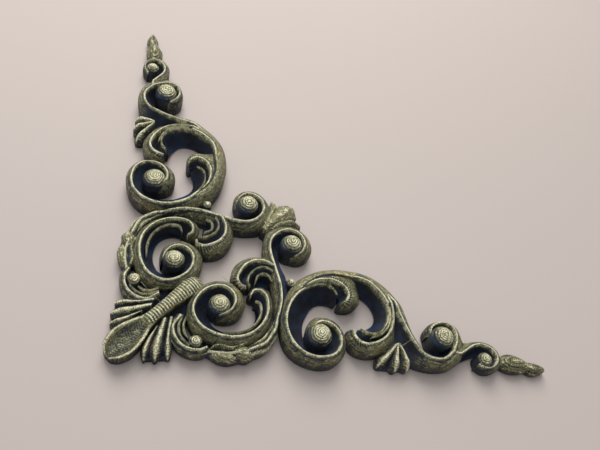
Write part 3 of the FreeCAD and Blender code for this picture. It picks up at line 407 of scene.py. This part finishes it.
# How a flank rises from its edge to the ridge
ROUND = "round"        # swells like a moulding, rubbed with gold
COVE = "cove"          # scooped out below the ridge, left dark
SLOPE = "slope"        # between the two
PLAIN = "plain"        # a smooth dome with no crisp ridge
FINGER = "finger"      # a dome, bright along the middle and dark at the sides
RUNS = {
    "big_scroll": (BIG_SCROLL, ROUND, COVE), "arch": (ARCH, ROUND, COVE),
    "eye_leaf": (EYE_LEAF, COVE, COVE), "hanging_leaf": (HANGING_LEAF, ROUND, COVE),
    "inner_frond": (INNER_FROND, SLOPE, COVE), "outer_frond": (OUTER_FROND, ROUND, COVE),
    "medium_scroll": (MEDIUM_SCROLL, ROUND, COVE), "small_scroll": (SMALL_SCROLL, ROUND, COVE),
    "corner_scroll": (CORNER_SCROLL, ROUND, COVE), "corner_stem": (CORNER_STEM, ROUND, COVE),
    "corner_leaf": (CORNER_LEAF, ROUND, COVE), "corner_leaf_lobe": (CORNER_LEAF_LOBE, SLOPE, COVE),
    "small_volute": (SMALL_VOLUTE, ROUND, COVE),
}


# ---------------------------------------------------------------- meshes

def smooth_rows(ribs):
    """The three long lines of a run, sampled as (row, line, xyz).

    Also gives the distance run and the rib number of each row.
    """
    points = np.array(ribs, float)
    steps = np.linalg.norm(np.diff(points[:, 1, :2], axis=0), axis=1)
    spans = np.maximum(steps, SHORTEST_STEP)[:, None, None]
    slopes = np.diff(points, axis=0) / spans
    inner = (slopes[:-1] * spans[1:] + slopes[1:] * spans[:-1]) / (spans[:-1] + spans[1:])
    sizes = np.linalg.norm(slopes, axis=2)
    limit = SLOPE_LIMIT * np.minimum(sizes[:-1], sizes[1:])
    length = np.maximum(np.linalg.norm(inner, axis=2), 1e-9)
    inner *= np.minimum(1.0, limit / length)[:, :, None]
    tangents = np.concatenate([slopes[:1], inner, slopes[-1:]])
    rows, numbers = [], []
    for i, span in enumerate(spans[:, 0, 0]):
        longest = np.linalg.norm(points[i + 1] - points[i], axis=1).max()
        count = max(2, math.ceil(longest / ROW_STEP))
        for t in np.arange(count) / count:
            numbers.append(i + t)
            rows.append(
                points[i] * (1 + 2 * t) * (1 - t) ** 2
                + tangents[i] * span * t * (1 - t) ** 2
                + points[i + 1] * t * t * (3 - 2 * t)
                + tangents[i + 1] * span * t * t * (t - 1)
            )
    rows.append(points[-1])
    numbers.append(len(points) - 1)
    rows = np.array(rows)
    steps = np.linalg.norm(np.diff(rows[:, 1, :2], axis=0), axis=1)
    return rows, np.concatenate([[0.0], np.cumsum(steps)]), np.array(numbers)


def bell(x, centre, width):
    return np.exp(-(((x - centre) / width) ** 2))


def flank(edge, ridge, kind, crisp):
    """Points from edge to ridge, (row, point, xyz), their distance from the ridge and gold.

    crisp says for each row how sharply the ridge line stands out, from 0 to 1.
    """
    share = 1 - (1 - np.linspace(0, 1, FLANK_POINTS)) ** 1.5
    share = share[None, :, None]
    points = edge[:, None, :] * (1 - share) + ridge[:, None, :] * share
    width = np.linalg.norm(edge[:, :2] - ridge[:, :2], axis=1)[:, None]
    u = share[:, :, 0]
    away = (1 - u) * width
    drop = (ridge[:, 2] - edge[:, 2])[:, None]
    line = crisp[:, None]
    lip = 0.18 * bell(away, 0.0, 0.32) * np.minimum(1.0, width) * line
    crease = 0.0
    if kind == ROUND:
        rise = u + 0.96 * u * (1 - u)
        gold = 0.42 + 0.26 * u
        gold = gold + line * (0.50 * bell(away, 0.0, 0.42) - 0.30 * bell(away, 1.0, 0.3))
        crease = -0.16 * bell(away, 1.0, 0.28) * line
    elif kind == COVE:
        rise = u ** 2.3
        gold = 0.03 + (0.55 + 0.42 * line) * bell(away, 0.0, 0.36)
    elif kind == SLOPE:
        rise = u ** 1.3
        gold = 0.15 + 0.85 * bell(away, 0.0, 0.5)
    else:
        rise = np.sin(u * math.pi / 2)
        lip = 0.0
        gold = 0.50 + 0.18 * u
        if kind == FINGER:
            gold = 0.06 + 0.94 * bell(away, 0.0, 0.54 * np.maximum(width, 0.8))
    points[:, :, 2] = edge[:, None, 2] + drop * rise + lip + crease * np.minimum(1.0, width / 2)
    gold = np.broadcast_to(gold, away.shape).copy()
    return points, away, gold


WALL_LEVELS = [0.0, 0.12, 0.35, 0.6, 0.85]     # shares of the edge's height
WALL_SHOWING = [0.0, 0.1, 0.4, 0.8, 1.0]       # how far each level counts as an outer wall


def wall(edge, inward, gold_top):
    """Points up a wall from the back to just below the edge, rounded in at the foot."""
    share = np.array(WALL_LEVELS)[None, :, None]
    points = np.repeat(edge[:, None, :], len(WALL_LEVELS), axis=1)
    points[:, :, 2:] *= share
    points[:, :, :2] += inward[:, None, :] * (0.45 * (1 - share) ** 3)
    gold = gold_top * (0.25 + 0.75 * share[:, :, 0])
    return points, np.broadcast_to(gold, points.shape[:2]).copy()


def side_of(edge, ridge, kind, crisp):
    """One side of a run, foot to ridge: points, gold, outer wall share, distance off the ridge."""
    inward = ridge[:, :2] - edge[:, :2]
    inward /= np.maximum(np.linalg.norm(inward, axis=1), 0.3)[:, None]
    top, away, top_gold = flank(edge, ridge, kind, crisp)
    dark = kind in (COVE, SLOPE)
    low, low_gold = wall(edge, inward, 0.05 if dark else 0.36)
    outer = 0.0 if dark else 1.0
    on_wall = np.broadcast_to(outer * np.array(WALL_SHOWING), low.shape[:2])
    on_flank = outer * np.clip((away - 0.8) / 1.6, 0, 1)
    reach = [np.repeat(away[:, :1], low.shape[1], axis=1), away]
    return (np.concatenate([low, top], axis=1), np.concatenate([low_gold, top_gold], axis=1),
            np.concatenate([on_wall, on_flank], axis=1), np.concatenate(reach, axis=1))


def facing_out(points, faces):
    """The faces of a closed mesh, turned round if they enclose a negative volume."""
    triangles = [(face[0], b, c) for face in faces for b, c in zip(face[1:], face[2:])]
    a, b, c = points[np.array(triangles)].transpose(1, 0, 2)
    volume = np.einsum("ij,ij->", a, np.cross(b, c))
    return faces if volume > 0 else [face[::-1] for face in faces]


def relief(ribs, left_kind, right_kind, carve=None, turn=None, shows=None):
    """A closed run: vertices, faces and paint values.

    The flanks swap kinds round rib turn. The ridge line stands out between the ribs in shows.
    """
    rows, run, numbers = smooth_rows(ribs)
    first, last = shows or (-1.0, len(ribs) + 1.0)
    crisp = np.clip(numbers - first, 0, 1) * np.clip(last - numbers, 0, 1)
    left, ridge, right = rows[:, 0], rows[:, 1], rows[:, 2]
    sides = []
    for edge, kind, other in ((left, left_kind, right_kind), (right, right_kind, left_kind)):
        side = side_of(edge, ridge, kind, crisp)
        if turn is not None:
            swapped = side_of(edge, ridge, other, crisp)
            share = np.clip((numbers - turn + 1) / 2, 0, 1)[:, None]
            shares = [share[:, :, None], share, share, share]
            side = tuple(a * (1 - w) + b * w for a, b, w in zip(side, swapped, shares))
        sides.append(side)
    (left_points, left_gold, left_out, left_off), (points, paint_of, out_of, off) = sides
    back = (slice(None), slice(-2, None, -1))      # ridge to foot, without the ridge itself
    under = np.stack([ridge[:, 0], ridge[:, 1], np.zeros(len(ridge))], axis=1)[:, None, :]
    nothing = np.zeros((len(rows), 1))
    ring = np.concatenate([left_points, points[back], under], axis=1)
    gold = np.concatenate([left_gold, paint_of[back], nothing], axis=1)
    out = np.concatenate([left_out, out_of[back], nothing], axis=1)
    offset = np.concatenate([left_off, -off[back], nothing], axis=1)
    width = np.concatenate([np.repeat(left_off[:, :1], left_off.shape[1], axis=1),
                            np.repeat(off[:, :1], off.shape[1], axis=1)], axis=1)
    along = np.broadcast_to(run[:, None], offset.shape)
    nick = bell(offset, 0.0, 0.35) * crisp[:, None]
    chips = np.sin(along * 7.3 + np.sin(along * 2.1) * 2.0) * np.sin(along * 3.1 + 0.7)
    ring[:, :, 2] += np.where(ring[:, :, 2] > CARVED_ABOVE, 0.08 * nick * chips, 0.0)
    gold = gold + 0.34 * nick * chips
    if carve:
        lift, shade = carve(along, offset, width, run[-1], ring[:, :, 2])
        carved = ring[:, :, 2] > CARVED_ABOVE
        ring[:, :, 2] += np.where(carved, lift, 0.0)
        gold = gold + np.where(carved, shade, 0.0)
    count, size = ring.shape[:2]
    index = np.arange(count * size).reshape(count, size)
    ahead = np.roll(index, -1, axis=1)
    quads = np.stack([index[:-1], ahead[:-1], ahead[1:], index[1:]], axis=-1).reshape(-1, 4)
    faces = [tuple(int(i) for i in quad) for quad in quads]
    start_row, end_row = index[0], index[-1]
    for k in range(size - 2):
        faces.append((int(start_row[-1]), int(start_row[k + 1]), int(start_row[k])))
        faces.append((int(end_row[-1]), int(end_row[k]), int(end_row[k + 1])))
    points = ring.reshape(-1, 3)
    flow = np.stack([along.ravel(), offset.ravel()], axis=1)
    return points, facing_out(points, faces), gold.ravel(), out.ravel(), flow


def revolved(x, y, profile, lean):
    """A closed boss turned from (radius, height, gold, outer) rows, foot first, crown last."""
    angles = np.arange(BOSS_SEGMENTS) * 2 * math.pi / BOSS_SEGMENTS
    top = max(row[1] for row in profile)
    points, gold, out, flow = [], [], [], []
    for radius, height, paint, outer in profile:
        shift = (height / top) ** 3
        wobble = 1 + 0.015 * np.sin(3 * angles + height * 2.1) + 0.01 * np.sin(5 * angles + 1.3)
        ring_x = x + lean[0] * shift + radius * wobble * np.cos(angles)
        ring_y = y + lean[1] * shift + radius * wobble * np.sin(angles)
        points += [(px, py, height) for px, py in zip(ring_x, ring_y)]
        # More gold on one side of each boss and less on the opposite side: a painted lit side and
        # a painted shaded side.
        facing = 0.26 * np.cos(angles - 0.8) * radius / profile[0][0]
        gold += list(paint + facing)
        out += [outer] * BOSS_SEGMENTS
        flow += [(angle * radius, height) for angle in angles]
    faces = []
    for k in range(len(profile) - 1):
        for i in range(BOSS_SEGMENTS):
            j = (i + 1) % BOSS_SEGMENTS
            low, high = k * BOSS_SEGMENTS, (k + 1) * BOSS_SEGMENTS
            faces.append((low + i, low + j, high + j, high + i))
    faces.append(tuple(range(BOSS_SEGMENTS))[::-1])
    faces.append(tuple(range((len(profile) - 1) * BOSS_SEGMENTS, len(profile) * BOSS_SEGMENTS)))
    return np.array(points), faces, np.array(gold), np.array(out), np.array(flow)


def eye(x, y, radius, crown, lean=(0.0, 0.0), flare=EYE_FLARE):
    """A domed boss with fine rings round its side and its dome."""
    side = radius * flare
    shoulder = crown - radius
    profile = [(side * 0.95, 0.0, 0.02, 0.4)]
    layers = round(shoulder / 0.3)
    for k in range(1, layers):
        share = k / layers
        profile.append((side, shoulder * share, 0.04 + (0.16 + 0.30 * (k % 2)) * share ** 2, 0.4))
    rings = round(side / RING_STEP)
    for k in range(rings, 0, -1):
        for place, sink, groove in ((0.0, 0.13, 0.62), (0.25, 0.0, 0.0), (0.75, 0.0, 0.0)):
            width = side * min(1.0, (k - place) / rings) * 0.998
            level = shoulder + radius * math.sqrt(1 - (width / side) ** 2)
            bright = 1.00 - 0.70 * (width / side) ** 3
            profile.append((width, level - sink, bright - groove, 0.0))
    profile.append((side * 0.3 / rings, crown - 0.06, 0.5, 0.0))
    profile.append((0.08, crown, 0.9, 0.0))
    return revolved(x, y, profile, lean)


# A carve function takes, for every mesh point of a run, the distance along it, the offset from the
# ridge, the width of the flank, the length of the run and the height. It gives lift and shade.

def strokes(pitch, depth, slant=0.0, near=0.0, reach=9.0, shade=0.25):
    """Carved strokes across a run, slanted by slant millimetres for each one off the ridge."""
    def carve(along, offset, width, length, height):
        wave = np.sin(2 * math.pi * (along + slant * np.abs(offset)) / pitch)
        place = along / length
        window = np.clip((np.abs(offset) - near) / 0.3, 0, 1)
        window = window * np.clip((reach - np.abs(offset)) / 0.3, 0, 1)
        window = window * np.clip(place / FADE, 0, 1)
        window = window * np.clip((1.0 - place) / FADE, 0, 1)
        return depth * wave * window, shade * wave * window
    return carve


def beaded(pitch):
    """Beads along the ridge line."""
    def carve(along, offset, width, length, height):
        top = bell(offset, 0.0, 0.35) * np.sin(2 * math.pi * along / pitch)
        return 0.09 * top, 0.30 * top
    return carve


def slit_and_strokes(along, offset, width, length, height):
    """A dark slit along the first part of the left edge, and beading beside the ridge."""
    beading = strokes(STROKE_PITCH, 0.07, 0.6, 0.3, 2.0, shade=0.30)
    lift, shade = beading(along, offset, width, length, height)
    slit = bell(width - np.abs(offset), 0.45, 0.60) * (offset > 0)
    slit = slit * np.clip((0.62 - along / length) / 0.08, 0, 1)
    return lift - 0.45 * slit, shade - 0.75 * slit


def contours(spacing, depth, shade, tilt=0.0):
    """Lines of equal height, as a printed dome shows them."""
    def carve(along, offset, width, length, height):
        wave = np.sin(2 * math.pi * (height + tilt * along) / spacing)
        return depth * wave, shade * wave
    return carve


def bands(spacing, height_of, pitch):
    """Rims that run side by side along a husk, nicked across."""
    def carve(along, offset, width, length, height):
        lines = np.cos(2 * math.pi * (offset + 0.25 * np.sin(along * 0.8)) / spacing)
        nicks = np.sin(2 * math.pi * (along + 0.35 * np.abs(offset)) / pitch)
        return height_of * lines + 0.06 * nicks, 0.34 * lines + 0.16 * nicks
    return carve


def centre_carving(along, offset, width, length, height):
    """The ribbed stem and the dished, bead-rimmed end of the centre leaf."""
    dish = np.clip((15.2 - along) / 2.0, 0, 1)
    stem = np.clip((along - 14.5) / 1.5, 0, 1) * np.clip((length - 0.8 - along) / 0.6, 0, 1)
    side = width - np.abs(offset)
    beads = np.sin(2 * math.pi * along / BEAD_PITCH)
    rim = bell(side, 0.55, 0.36)
    hollow = np.clip((side - 0.9) / 0.7, 0, 1)
    dots = np.sin(7.5 * offset) * np.sin(2 * math.pi * (along + 0.5 * np.abs(offset)) / 0.8)
    ribs = np.sin(2 * math.pi * along / 1.0)
    edges = np.clip(side / 0.5, 0, 1)
    lift = dish * (0.42 * rim + 0.09 * rim * beads - 0.25 * hollow + 0.06 * hollow * dots)
    lift = lift + stem * 0.21 * ribs * edges
    shade = dish * (0.60 * rim + 0.20 * rim * beads - 0.24 * hollow + 0.24 * hollow * dots)
    return lift, shade + stem * (0.08 + 0.42 * ribs * edges)


def thin_ridge(line, width=0.95, drop=1.2):
    """Ribs for a narrow carved line along (x, y, z) points."""
    ribs = []
    for i, point in enumerate(line):
        before = line[max(i - 1, 0)]
        after = line[min(i + 1, len(line) - 1)]
        dx, dy = after[0] - before[0], after[1] - before[1]
        size = math.hypot(dx, dy)
        taper = 0.45 if i in (0, len(line) - 1) else 1.0
        nx, ny = -dy / size * width / 2 * taper, dx / size * width / 2 * taper
        x, y, z = point
        ribs.append(((x + nx, y + ny, z - drop), point, (x - nx, y - ny, z - drop)))
    return ribs


def leaf_ribs(spine, half_widths, fall):
    """Ribs for a small almond leaf along a spine of (x, y, z) points."""
    ribs = []
    for i, (point, half_width) in enumerate(zip(spine, half_widths)):
        before = spine[max(i - 1, 0)]
        after = spine[min(i + 1, len(spine) - 1)]
        dx, dy = after[0] - before[0], after[1] - before[1]
        size = math.hypot(dx, dy)
        nx, ny = -dy / size * half_width, dx / size * half_width
        x, y, z = point
        edge = max(1.2, z - fall * half_width)
        ribs.append(((x + nx, y + ny, edge), point, (x - nx, y - ny, edge)))
    return ribs


def joined(parts):
    """Several closed meshes as one."""
    points, faces, gold, out, flow = [], [], [], [], []
    base = 0
    for part in parts:
        points.append(part[0])
        faces += [tuple(i + base for i in face) for face in part[1]]
        gold.append(part[2])
        out.append(part[3])
        flow.append(part[4])
        base += len(part[0])
    return (np.concatenate(points), faces, np.concatenate(gold), np.concatenate(out),
            np.concatenate(flow))


def plate(outline, height):
    """A closed slab of carved ground between lobes."""
    size = len(outline)
    middle = np.mean(np.array(outline, float), axis=0)
    points = [(x, y, 0.0) for x, y in outline] + [(x, y, height) for x, y in outline]
    turned = sum((bx - ax) * (by + ay) for (ax, ay), (bx, by)
                 in zip(outline, outline[1:] + outline[:1])) > 0
    points += [(*middle, 0.0), (*middle, height)]
    faces = []
    for i in range(size):
        j = (i + 1) % size
        faces.append((i, j, size + j, size + i))
        faces.append((2 * size, j, i))
        faces.append((2 * size + 1, size + i, size + j))
    if turned:
        faces = [face[::-1] for face in faces]
    count = len(points)
    return (np.array(points), faces, np.full(count, 0.05), np.zeros(count),
            np.array([point[:2] for point in points]))


def across(rows):
    """Ribs for a member on the mirror plane, from (distance, half width, ridge, edge) rows."""
    half = math.sqrt(0.5)
    return [
        ((d - w * half, d + w * half, edge), (d, d, ridge), (d + w * half, d - w * half, edge))
        for d, w, ridge, edge in rows
    ]


def hair(start, end):
    """A fine thread of plastic that the print left between two points, hanging a little."""
    start, end = Vector(start), Vector(end)
    side = (end - start).cross(Vector((0, 0, 1))).normalized()
    up = side.cross((end - start).normalized())
    points = []
    for i in range(THREAD_ROWS):
        t = i / (THREAD_ROWS - 1)
        middle = start.lerp(end, t) - Vector((0, 0, THREAD_SAG * 4 * t * (1 - t)))
        for k in range(THREAD_CORNERS):
            turn = 2 * math.pi * k / THREAD_CORNERS
            points.append(middle + THREAD_RADIUS * (math.cos(turn) * side + math.sin(turn) * up))
    faces = []
    for i in range(THREAD_ROWS - 1):
        low, high = i * THREAD_CORNERS, (i + 1) * THREAD_CORNERS
        for k in range(THREAD_CORNERS):
            j = (k + 1) % THREAD_CORNERS
            faces.append((low + k, low + j, high + j, high + k))
    faces.append(tuple(range(THREAD_CORNERS))[::-1])
    faces.append(tuple(range((THREAD_ROWS - 1) * THREAD_CORNERS, THREAD_ROWS * THREAD_CORNERS)))
    count = len(points)
    points = np.array([tuple(p) for p in points])
    return (points, facing_out(points, faces), np.full(count, 0.75), np.zeros(count),
            np.zeros((count, 2)))


def put(name, shape, node, material, mirrored=False):
    """Makes a Blender piece of a shape and puts it in place of its CAD node."""
    points, faces, gold, out, flow = shape
    points = points.copy()
    if mirrored:
        points = points[:, [1, 0, 2]]
        faces = [face[::-1] for face in faces]
    for point in points:
        if point[2] > ROUGH_ABOVE:
            bump = noise.noise(Vector(point) * 0.9) + 0.6 * noise.noise(Vector(point) * 2.3)
            point[2] = min(point[2] + ROUGHNESS * bump, TOP)
    points = (points - np.array([ARM / 2, ARM / 2, 0.0])) * MM
    mesh = bpy.data.meshes.new(name)
    mesh.from_pydata([tuple(p) for p in points], [], faces)
    mesh.validate()
    for label, values in (("gold", gold), ("outer", out)):
        layer = mesh.attributes.new(label, "FLOAT", "POINT")
        layer.data.foreach_set("value", np.asarray(values, np.float32))
    layer = mesh.attributes.new("flow", "FLOAT_VECTOR", "POINT")
    spread = np.zeros((len(points), 3), np.float32)
    spread[:, :2] = flow
    layer.data.foreach_set("vector", spread.ravel())
    mesh.polygons.foreach_set("use_smooth", [True] * len(mesh.polygons))
    mesh.set_sharp_from_angle(angle=math.radians(60))
    mesh.materials.append(material)
    piece = bpy.data.objects.new(name, mesh)
    bpy.context.scene.collection.objects.link(piece)
    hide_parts(node)
    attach(piece, "root")


# ---------------------------------------------------------------- materials

def linear(code):
    """A colour from its two-digit hex parts, in Blender's linear numbers."""
    parts = [int(code[i:i + 2], 16) / 255 for i in (1, 3, 5)]
    values = [p / 12.92 if p <= 0.04045 else ((p + 0.055) / 1.055) ** 2.4 for p in parts]
    return (*values, 1.0)


NIGHT_BLUE = linear("#080a20")
BLUE = linear("#122e4c")
SCUFFED_BLUE = linear("#23395a")
DARK_OLIVE = linear("#29261c")
OLIVE = linear("#5f562f")
DULL_GOLD = linear("#64643f")
GOLD = linear("#97966c")
WARM_GOLD = linear("#8f7436")
# Near-white pale gold: partly the real gold flakes, partly painted highlights.
PALE_GOLD_AND_HIGHLIGHT = linear("#faf8d4")
FLOOR_DARK = linear("#bcb1ab")
FLOOR_LIGHT = linear("#c4b9b3")


class Nodes:
    """A few short calls for building a node material."""

    def __init__(self, name):
        self.material = bpy.data.materials.new(name)
        self.material.use_nodes = True
        self.tree = self.material.node_tree
        self.shader = self.tree.nodes["Principled BSDF"]

    def add(self, kind, **settings):
        node = self.tree.nodes.new(kind)
        for key, value in settings.items():
            setattr(node, key, value)
        return node

    def link(self, out, into):
        self.tree.links.new(out, into)

    def feed(self, socket, value):
        if isinstance(value, bpy.types.NodeSocket):
            self.link(value, socket)
        else:
            socket.default_value = value

    def math(self, operation, a, b=0.0, clamp=False):
        node = self.add("ShaderNodeMath", operation=operation, use_clamp=clamp)
        self.feed(node.inputs[0], a)
        self.feed(node.inputs[1], b)
        return node.outputs[0]

    def scaled(self, vector, factors):
        node = self.add("ShaderNodeVectorMath", operation="MULTIPLY")
        self.link(vector, node.inputs[0])
        node.inputs[1].default_value = factors
        return node.outputs[0]

    def noise(self, vector, scale, detail=3.0, roughness=0.55):
        node = self.add("ShaderNodeTexNoise")
        self.link(vector, node.inputs["Vector"])
        node.inputs["Scale"].default_value = scale
        node.inputs["Detail"].default_value = detail
        node.inputs["Roughness"].default_value = roughness
        return node.outputs["Fac"]

    def step(self, value, low, high):
        node = self.add("ShaderNodeMapRange", interpolation_type="SMOOTHSTEP")
        self.feed(node.inputs["Value"], value)
        node.inputs["From Min"].default_value = low
        node.inputs["From Max"].default_value = high
        return node.outputs["Result"]

    def mix(self, factor, first, second):
        node = self.add("ShaderNodeMix", data_type="RGBA")
        self.feed(node.inputs["Factor"], factor)
        self.feed(node.inputs["A"], first)
        self.feed(node.inputs["B"], second)
        return node.outputs["Result"]

    def attribute(self, name):
        return self.add("ShaderNodeAttribute", attribute_name=name)


def painted_relief():
    """Dark blue paint in the hollows, pale gold rubbed over whatever stands up, with painted
    highlights on the ridges.
    """
    n = Nodes("painted_relief")
    place = n.scaled(n.add("ShaderNodeTexCoord").outputs["Object"], (1000, 1000, 1000))
    flow = n.scaled(n.attribute("flow").outputs["Vector"], (0.5, 3.6, 1.0))
    gold = n.attribute("gold").outputs["Fac"]
    outer = n.attribute("outer").outputs["Fac"]
    patches = n.noise(place, 0.22, 3.0)
    specks = n.noise(place, 1.7, 4.0, 0.85)
    fine = n.noise(place, 5.0, 2.0, 0.6)
    streaks = n.noise(flow, 1.0, 3.0, 0.6)

    level = n.math("ADD", gold, n.math("MULTIPLY", n.math("SUBTRACT", patches, 0.5), 0.35))
    grain = n.math("MULTIPLY", n.math("SUBTRACT", specks, 0.5), 1.45)
    grain = n.math("ADD", grain, n.math("MULTIPLY", n.math("SUBTRACT", streaks, 0.5), 1.00))
    level = n.math("ADD", level, grain)
    mask = n.step(level, 0.32, 0.52)
    # Where the gold is thickest, mostly on the ridges, it turns near white: pale gold flakes and
    # painted highlights.
    bright = n.step(n.math("ADD", level, n.math("MULTIPLY", grain, 0.6)), 0.70, 1.02)

    blue = n.mix(n.step(patches, 0.38, 0.62), NIGHT_BLUE, BLUE)
    blue = n.mix(n.step(specks, 0.58, 0.78), blue, SCUFFED_BLUE)
    olive = n.mix(n.step(specks, 0.35, 0.7), DARK_OLIVE, OLIVE)
    ground = n.mix(n.math("MULTIPLY", outer, n.step(patches, 0.36, 0.62)), blue, olive)
    rubbed = n.mix(n.step(fine, 0.35, 0.65), DULL_GOLD, GOLD)
    warm = n.math("MULTIPLY", n.step(patches, 0.56, 0.70), 0.55)
    rubbed = n.mix(warm, rubbed, WARM_GOLD)
    rubbed = n.mix(bright, rubbed, PALE_GOLD_AND_HIGHLIGHT)
    n.link(n.mix(mask, ground, rubbed), n.shader.inputs["Base Color"])

    rough = n.math("ADD", n.math("MULTIPLY", specks, 0.30), 0.36)
    rough = n.math("SUBTRACT", rough, n.math("MULTIPLY", bright, 0.14))
    n.link(rough, n.shader.inputs["Roughness"])
    n.link(n.math("MULTIPLY", mask, 0.28), n.shader.inputs["Metallic"])

    height = n.add("ShaderNodeSeparateXYZ")
    n.link(place, height.inputs[0])
    wave = n.math("SINE", n.math("MULTIPLY", height.outputs["Z"], 2 * math.pi / LAYER))
    relief_map = n.math("ADD", n.math("MULTIPLY", wave, 0.18), n.math("MULTIPLY", specks, 1.3))
    relief_map = n.math("ADD", relief_map, n.math("MULTIPLY", streaks, 0.8))
    bump = n.add("ShaderNodeBump")
    bump.inputs["Strength"].default_value = 0.9
    bump.inputs["Distance"].default_value = 0.00030
    n.link(relief_map, bump.inputs["Height"])
    n.link(bump.outputs["Normal"], n.shader.inputs["Normal"])
    return n.material


def plain_floor():
    n = Nodes("floor")
    place = n.add("ShaderNodeTexCoord").outputs["Object"]
    cloud = n.noise(place, 3.0, 2.0)
    n.link(n.mix(cloud, FLOOR_DARK, FLOOR_LIGHT), n.shader.inputs["Base Color"])
    n.shader.inputs["Roughness"].default_value = 0.7
    return n.material


# ---------------------------------------------------------------- the ornament

def members():
    """The shapes of the arm along X, and of the two members on the mirror plane."""
    shapes = {}
    carving = {
        "hanging_leaf": slit_and_strokes,
        "corner_leaf": strokes(STROKE_PITCH, 0.07, 0.6, 0.3, 2.0, shade=0.30),
        "outer_frond": strokes(STROKE_PITCH, 0.05, 0.6, 0.3, 1.6, shade=0.22),
        "small_volute": beaded(BEAD_PITCH),
    }
    for name, (ribs, left, right) in RUNS.items():
        shapes[name] = relief(
            ribs, left, right, carving.get(name), TURNS.get(name), SHOWS.get(name))
    for name, line in FINE_LINES:
        ridge = relief(thin_ridge(line), SLOPE, SLOPE, beaded(BEAD_PITCH))
        shapes[name] = joined([shapes[name], ridge])
    lobe_rings = contours(0.75, 0.05, 0.12, 0.05)
    for name, ribs in (("main_bud", MAIN_BUD), ("tip_bud", TIP_BUD)):
        points, faces, gold, out, flow = relief(ribs, PLAIN, PLAIN, contours(0.9, 0.05, 0.16))
        shapes[name] = (points, faces, gold - 0.05, out, 0.25 * flow)
    shapes["husk_high"] = relief(HUSK_HIGH, PLAIN, PLAIN, bands(1.7, 0.32, NICK_PITCH))
    husk_parts = [relief(HUSK_LOW, SLOPE, SLOPE, bands(2.0, 0.10, NICK_PITCH))]
    husk_parts += [relief(leaf_ribs(*leaf), PLAIN, PLAIN, lobe_rings) for leaf in HUSK_LEAVES]
    rim = thin_ridge(HUSK_RIM, width=1.5, drop=1.8)
    husk_parts.append(relief(rim, PLAIN, PLAIN, strokes(NICK_PITCH, 0.10)))
    shapes["husk_low"] = joined(husk_parts)
    shapes["fan_side_lobe"] = relief(FAN_SIDE_LOBE, PLAIN, PLAIN, strokes(0.8, 0.08, 0.6))
    hatch = strokes(0.66, 0.07, 0.6, shade=0.22)
    shapes["shell"] = joined(
        [plate(SHELL_WEB, WEB_HEIGHT)]
        + [relief(lobe, FINGER, FINGER, hatch) for lobe in SHELL_LOBES])
    shapes["fronds"] = joined(
        [plate(FROND_WEB, WEB_HEIGHT)] + [relief(lobe, FINGER, FINGER, hatch) for lobe in FRONDS])
    for name, values in EYES.items():
        shapes[name] = eye(*values)
    for name, values in BEADS.items():
        shapes[name] = eye(*values, flare=1.0)
    coves = [plate(COVE_WEB, COVE_HEIGHT), plate([(y, x) for x, y in COVE_WEB], COVE_HEIGHT)]
    leaf = relief(across(CENTRE_LEAF), PLAIN, PLAIN, centre_carving)
    centre = {
        "centre_leaf": joined([leaf] + coves),
        "fan_lobe": relief(across(FAN_LOBE), PLAIN, PLAIN, lobe_rings),
    }
    return shapes, centre


paint = painted_relief()
half, centre = members()
for member, shape in half.items():
    for arm in ("x", "y"):
        threads = [hair(*ends) for ends in HAIRS.get(f"{member}_{arm}", [])]
        whole = joined([shape] + threads) if threads else shape
        put(f"{member}_{arm}_carved", whole, f"{member}_{arm}", paint, mirrored=arm == "y")
for member, shape in centre.items():
    put(f"{member}_carved", shape, member, paint)


# ---------------------------------------------------------------- stage, lights, camera

def stage():
    """A plain pale floor that goes on past the camera's view."""
    mesh = bpy.data.meshes.new("floor")
    reach = 2.0
    corners = [(-reach, -reach, 0), (reach, -reach, 0), (reach, reach, 0), (-reach, reach, 0)]
    mesh.from_pydata(corners, [], [(0, 1, 2, 3)])
    mesh.materials.append(plain_floor())
    ground = bpy.data.objects.new("floor", mesh)
    bpy.context.scene.collection.objects.link(ground)


def soft_light(name, place, target, size, power, colour):
    data = bpy.data.lights.new(name, "AREA")
    data.shape = "DISK"
    data.size = size
    data.energy = power
    data.color = colour
    lamp = bpy.data.objects.new(name, data)
    lamp.location = place
    lamp.rotation_euler = (Vector(target) - Vector(place)).to_track_quat("-Z", "Y").to_euler()
    bpy.context.scene.collection.objects.link(lamp)


stage()
soft_light("key_light", (-0.06, 0.48, 0.56), (0, 0, 0), 0.60, 5.2, (1.0, 0.98, 0.96))
soft_light("fill_light", (-0.10, 0.0, 0.9), (0, 0, 0), 0.7, 2.0, (0.97, 0.98, 1.0))

world = bpy.data.worlds.new("soft_room")
world.use_nodes = True
world.node_tree.nodes["Background"].inputs["Color"].default_value = (0.80, 0.79, 0.80, 1.0)
world.node_tree.nodes["Background"].inputs["Strength"].default_value = 0.40
bpy.context.scene.world = world
bpy.context.scene.view_settings.view_transform = "Standard"

camera_data = bpy.data.cameras.new("camera")
camera_data.lens = 35.96
camera_data.sensor_width = 36.0
camera_data.clip_start = 0.005
camera = bpy.data.objects.new("camera", camera_data)
camera.location = (-0.05829, -0.14314, 0.18181)
camera.rotation_euler = [math.radians(angle) for angle in (34.462, -12.812, -2.907)]
bpy.context.scene.collection.objects.link(camera)
bpy.context.scene.camera = camera

bpy.context.view_layer.update()
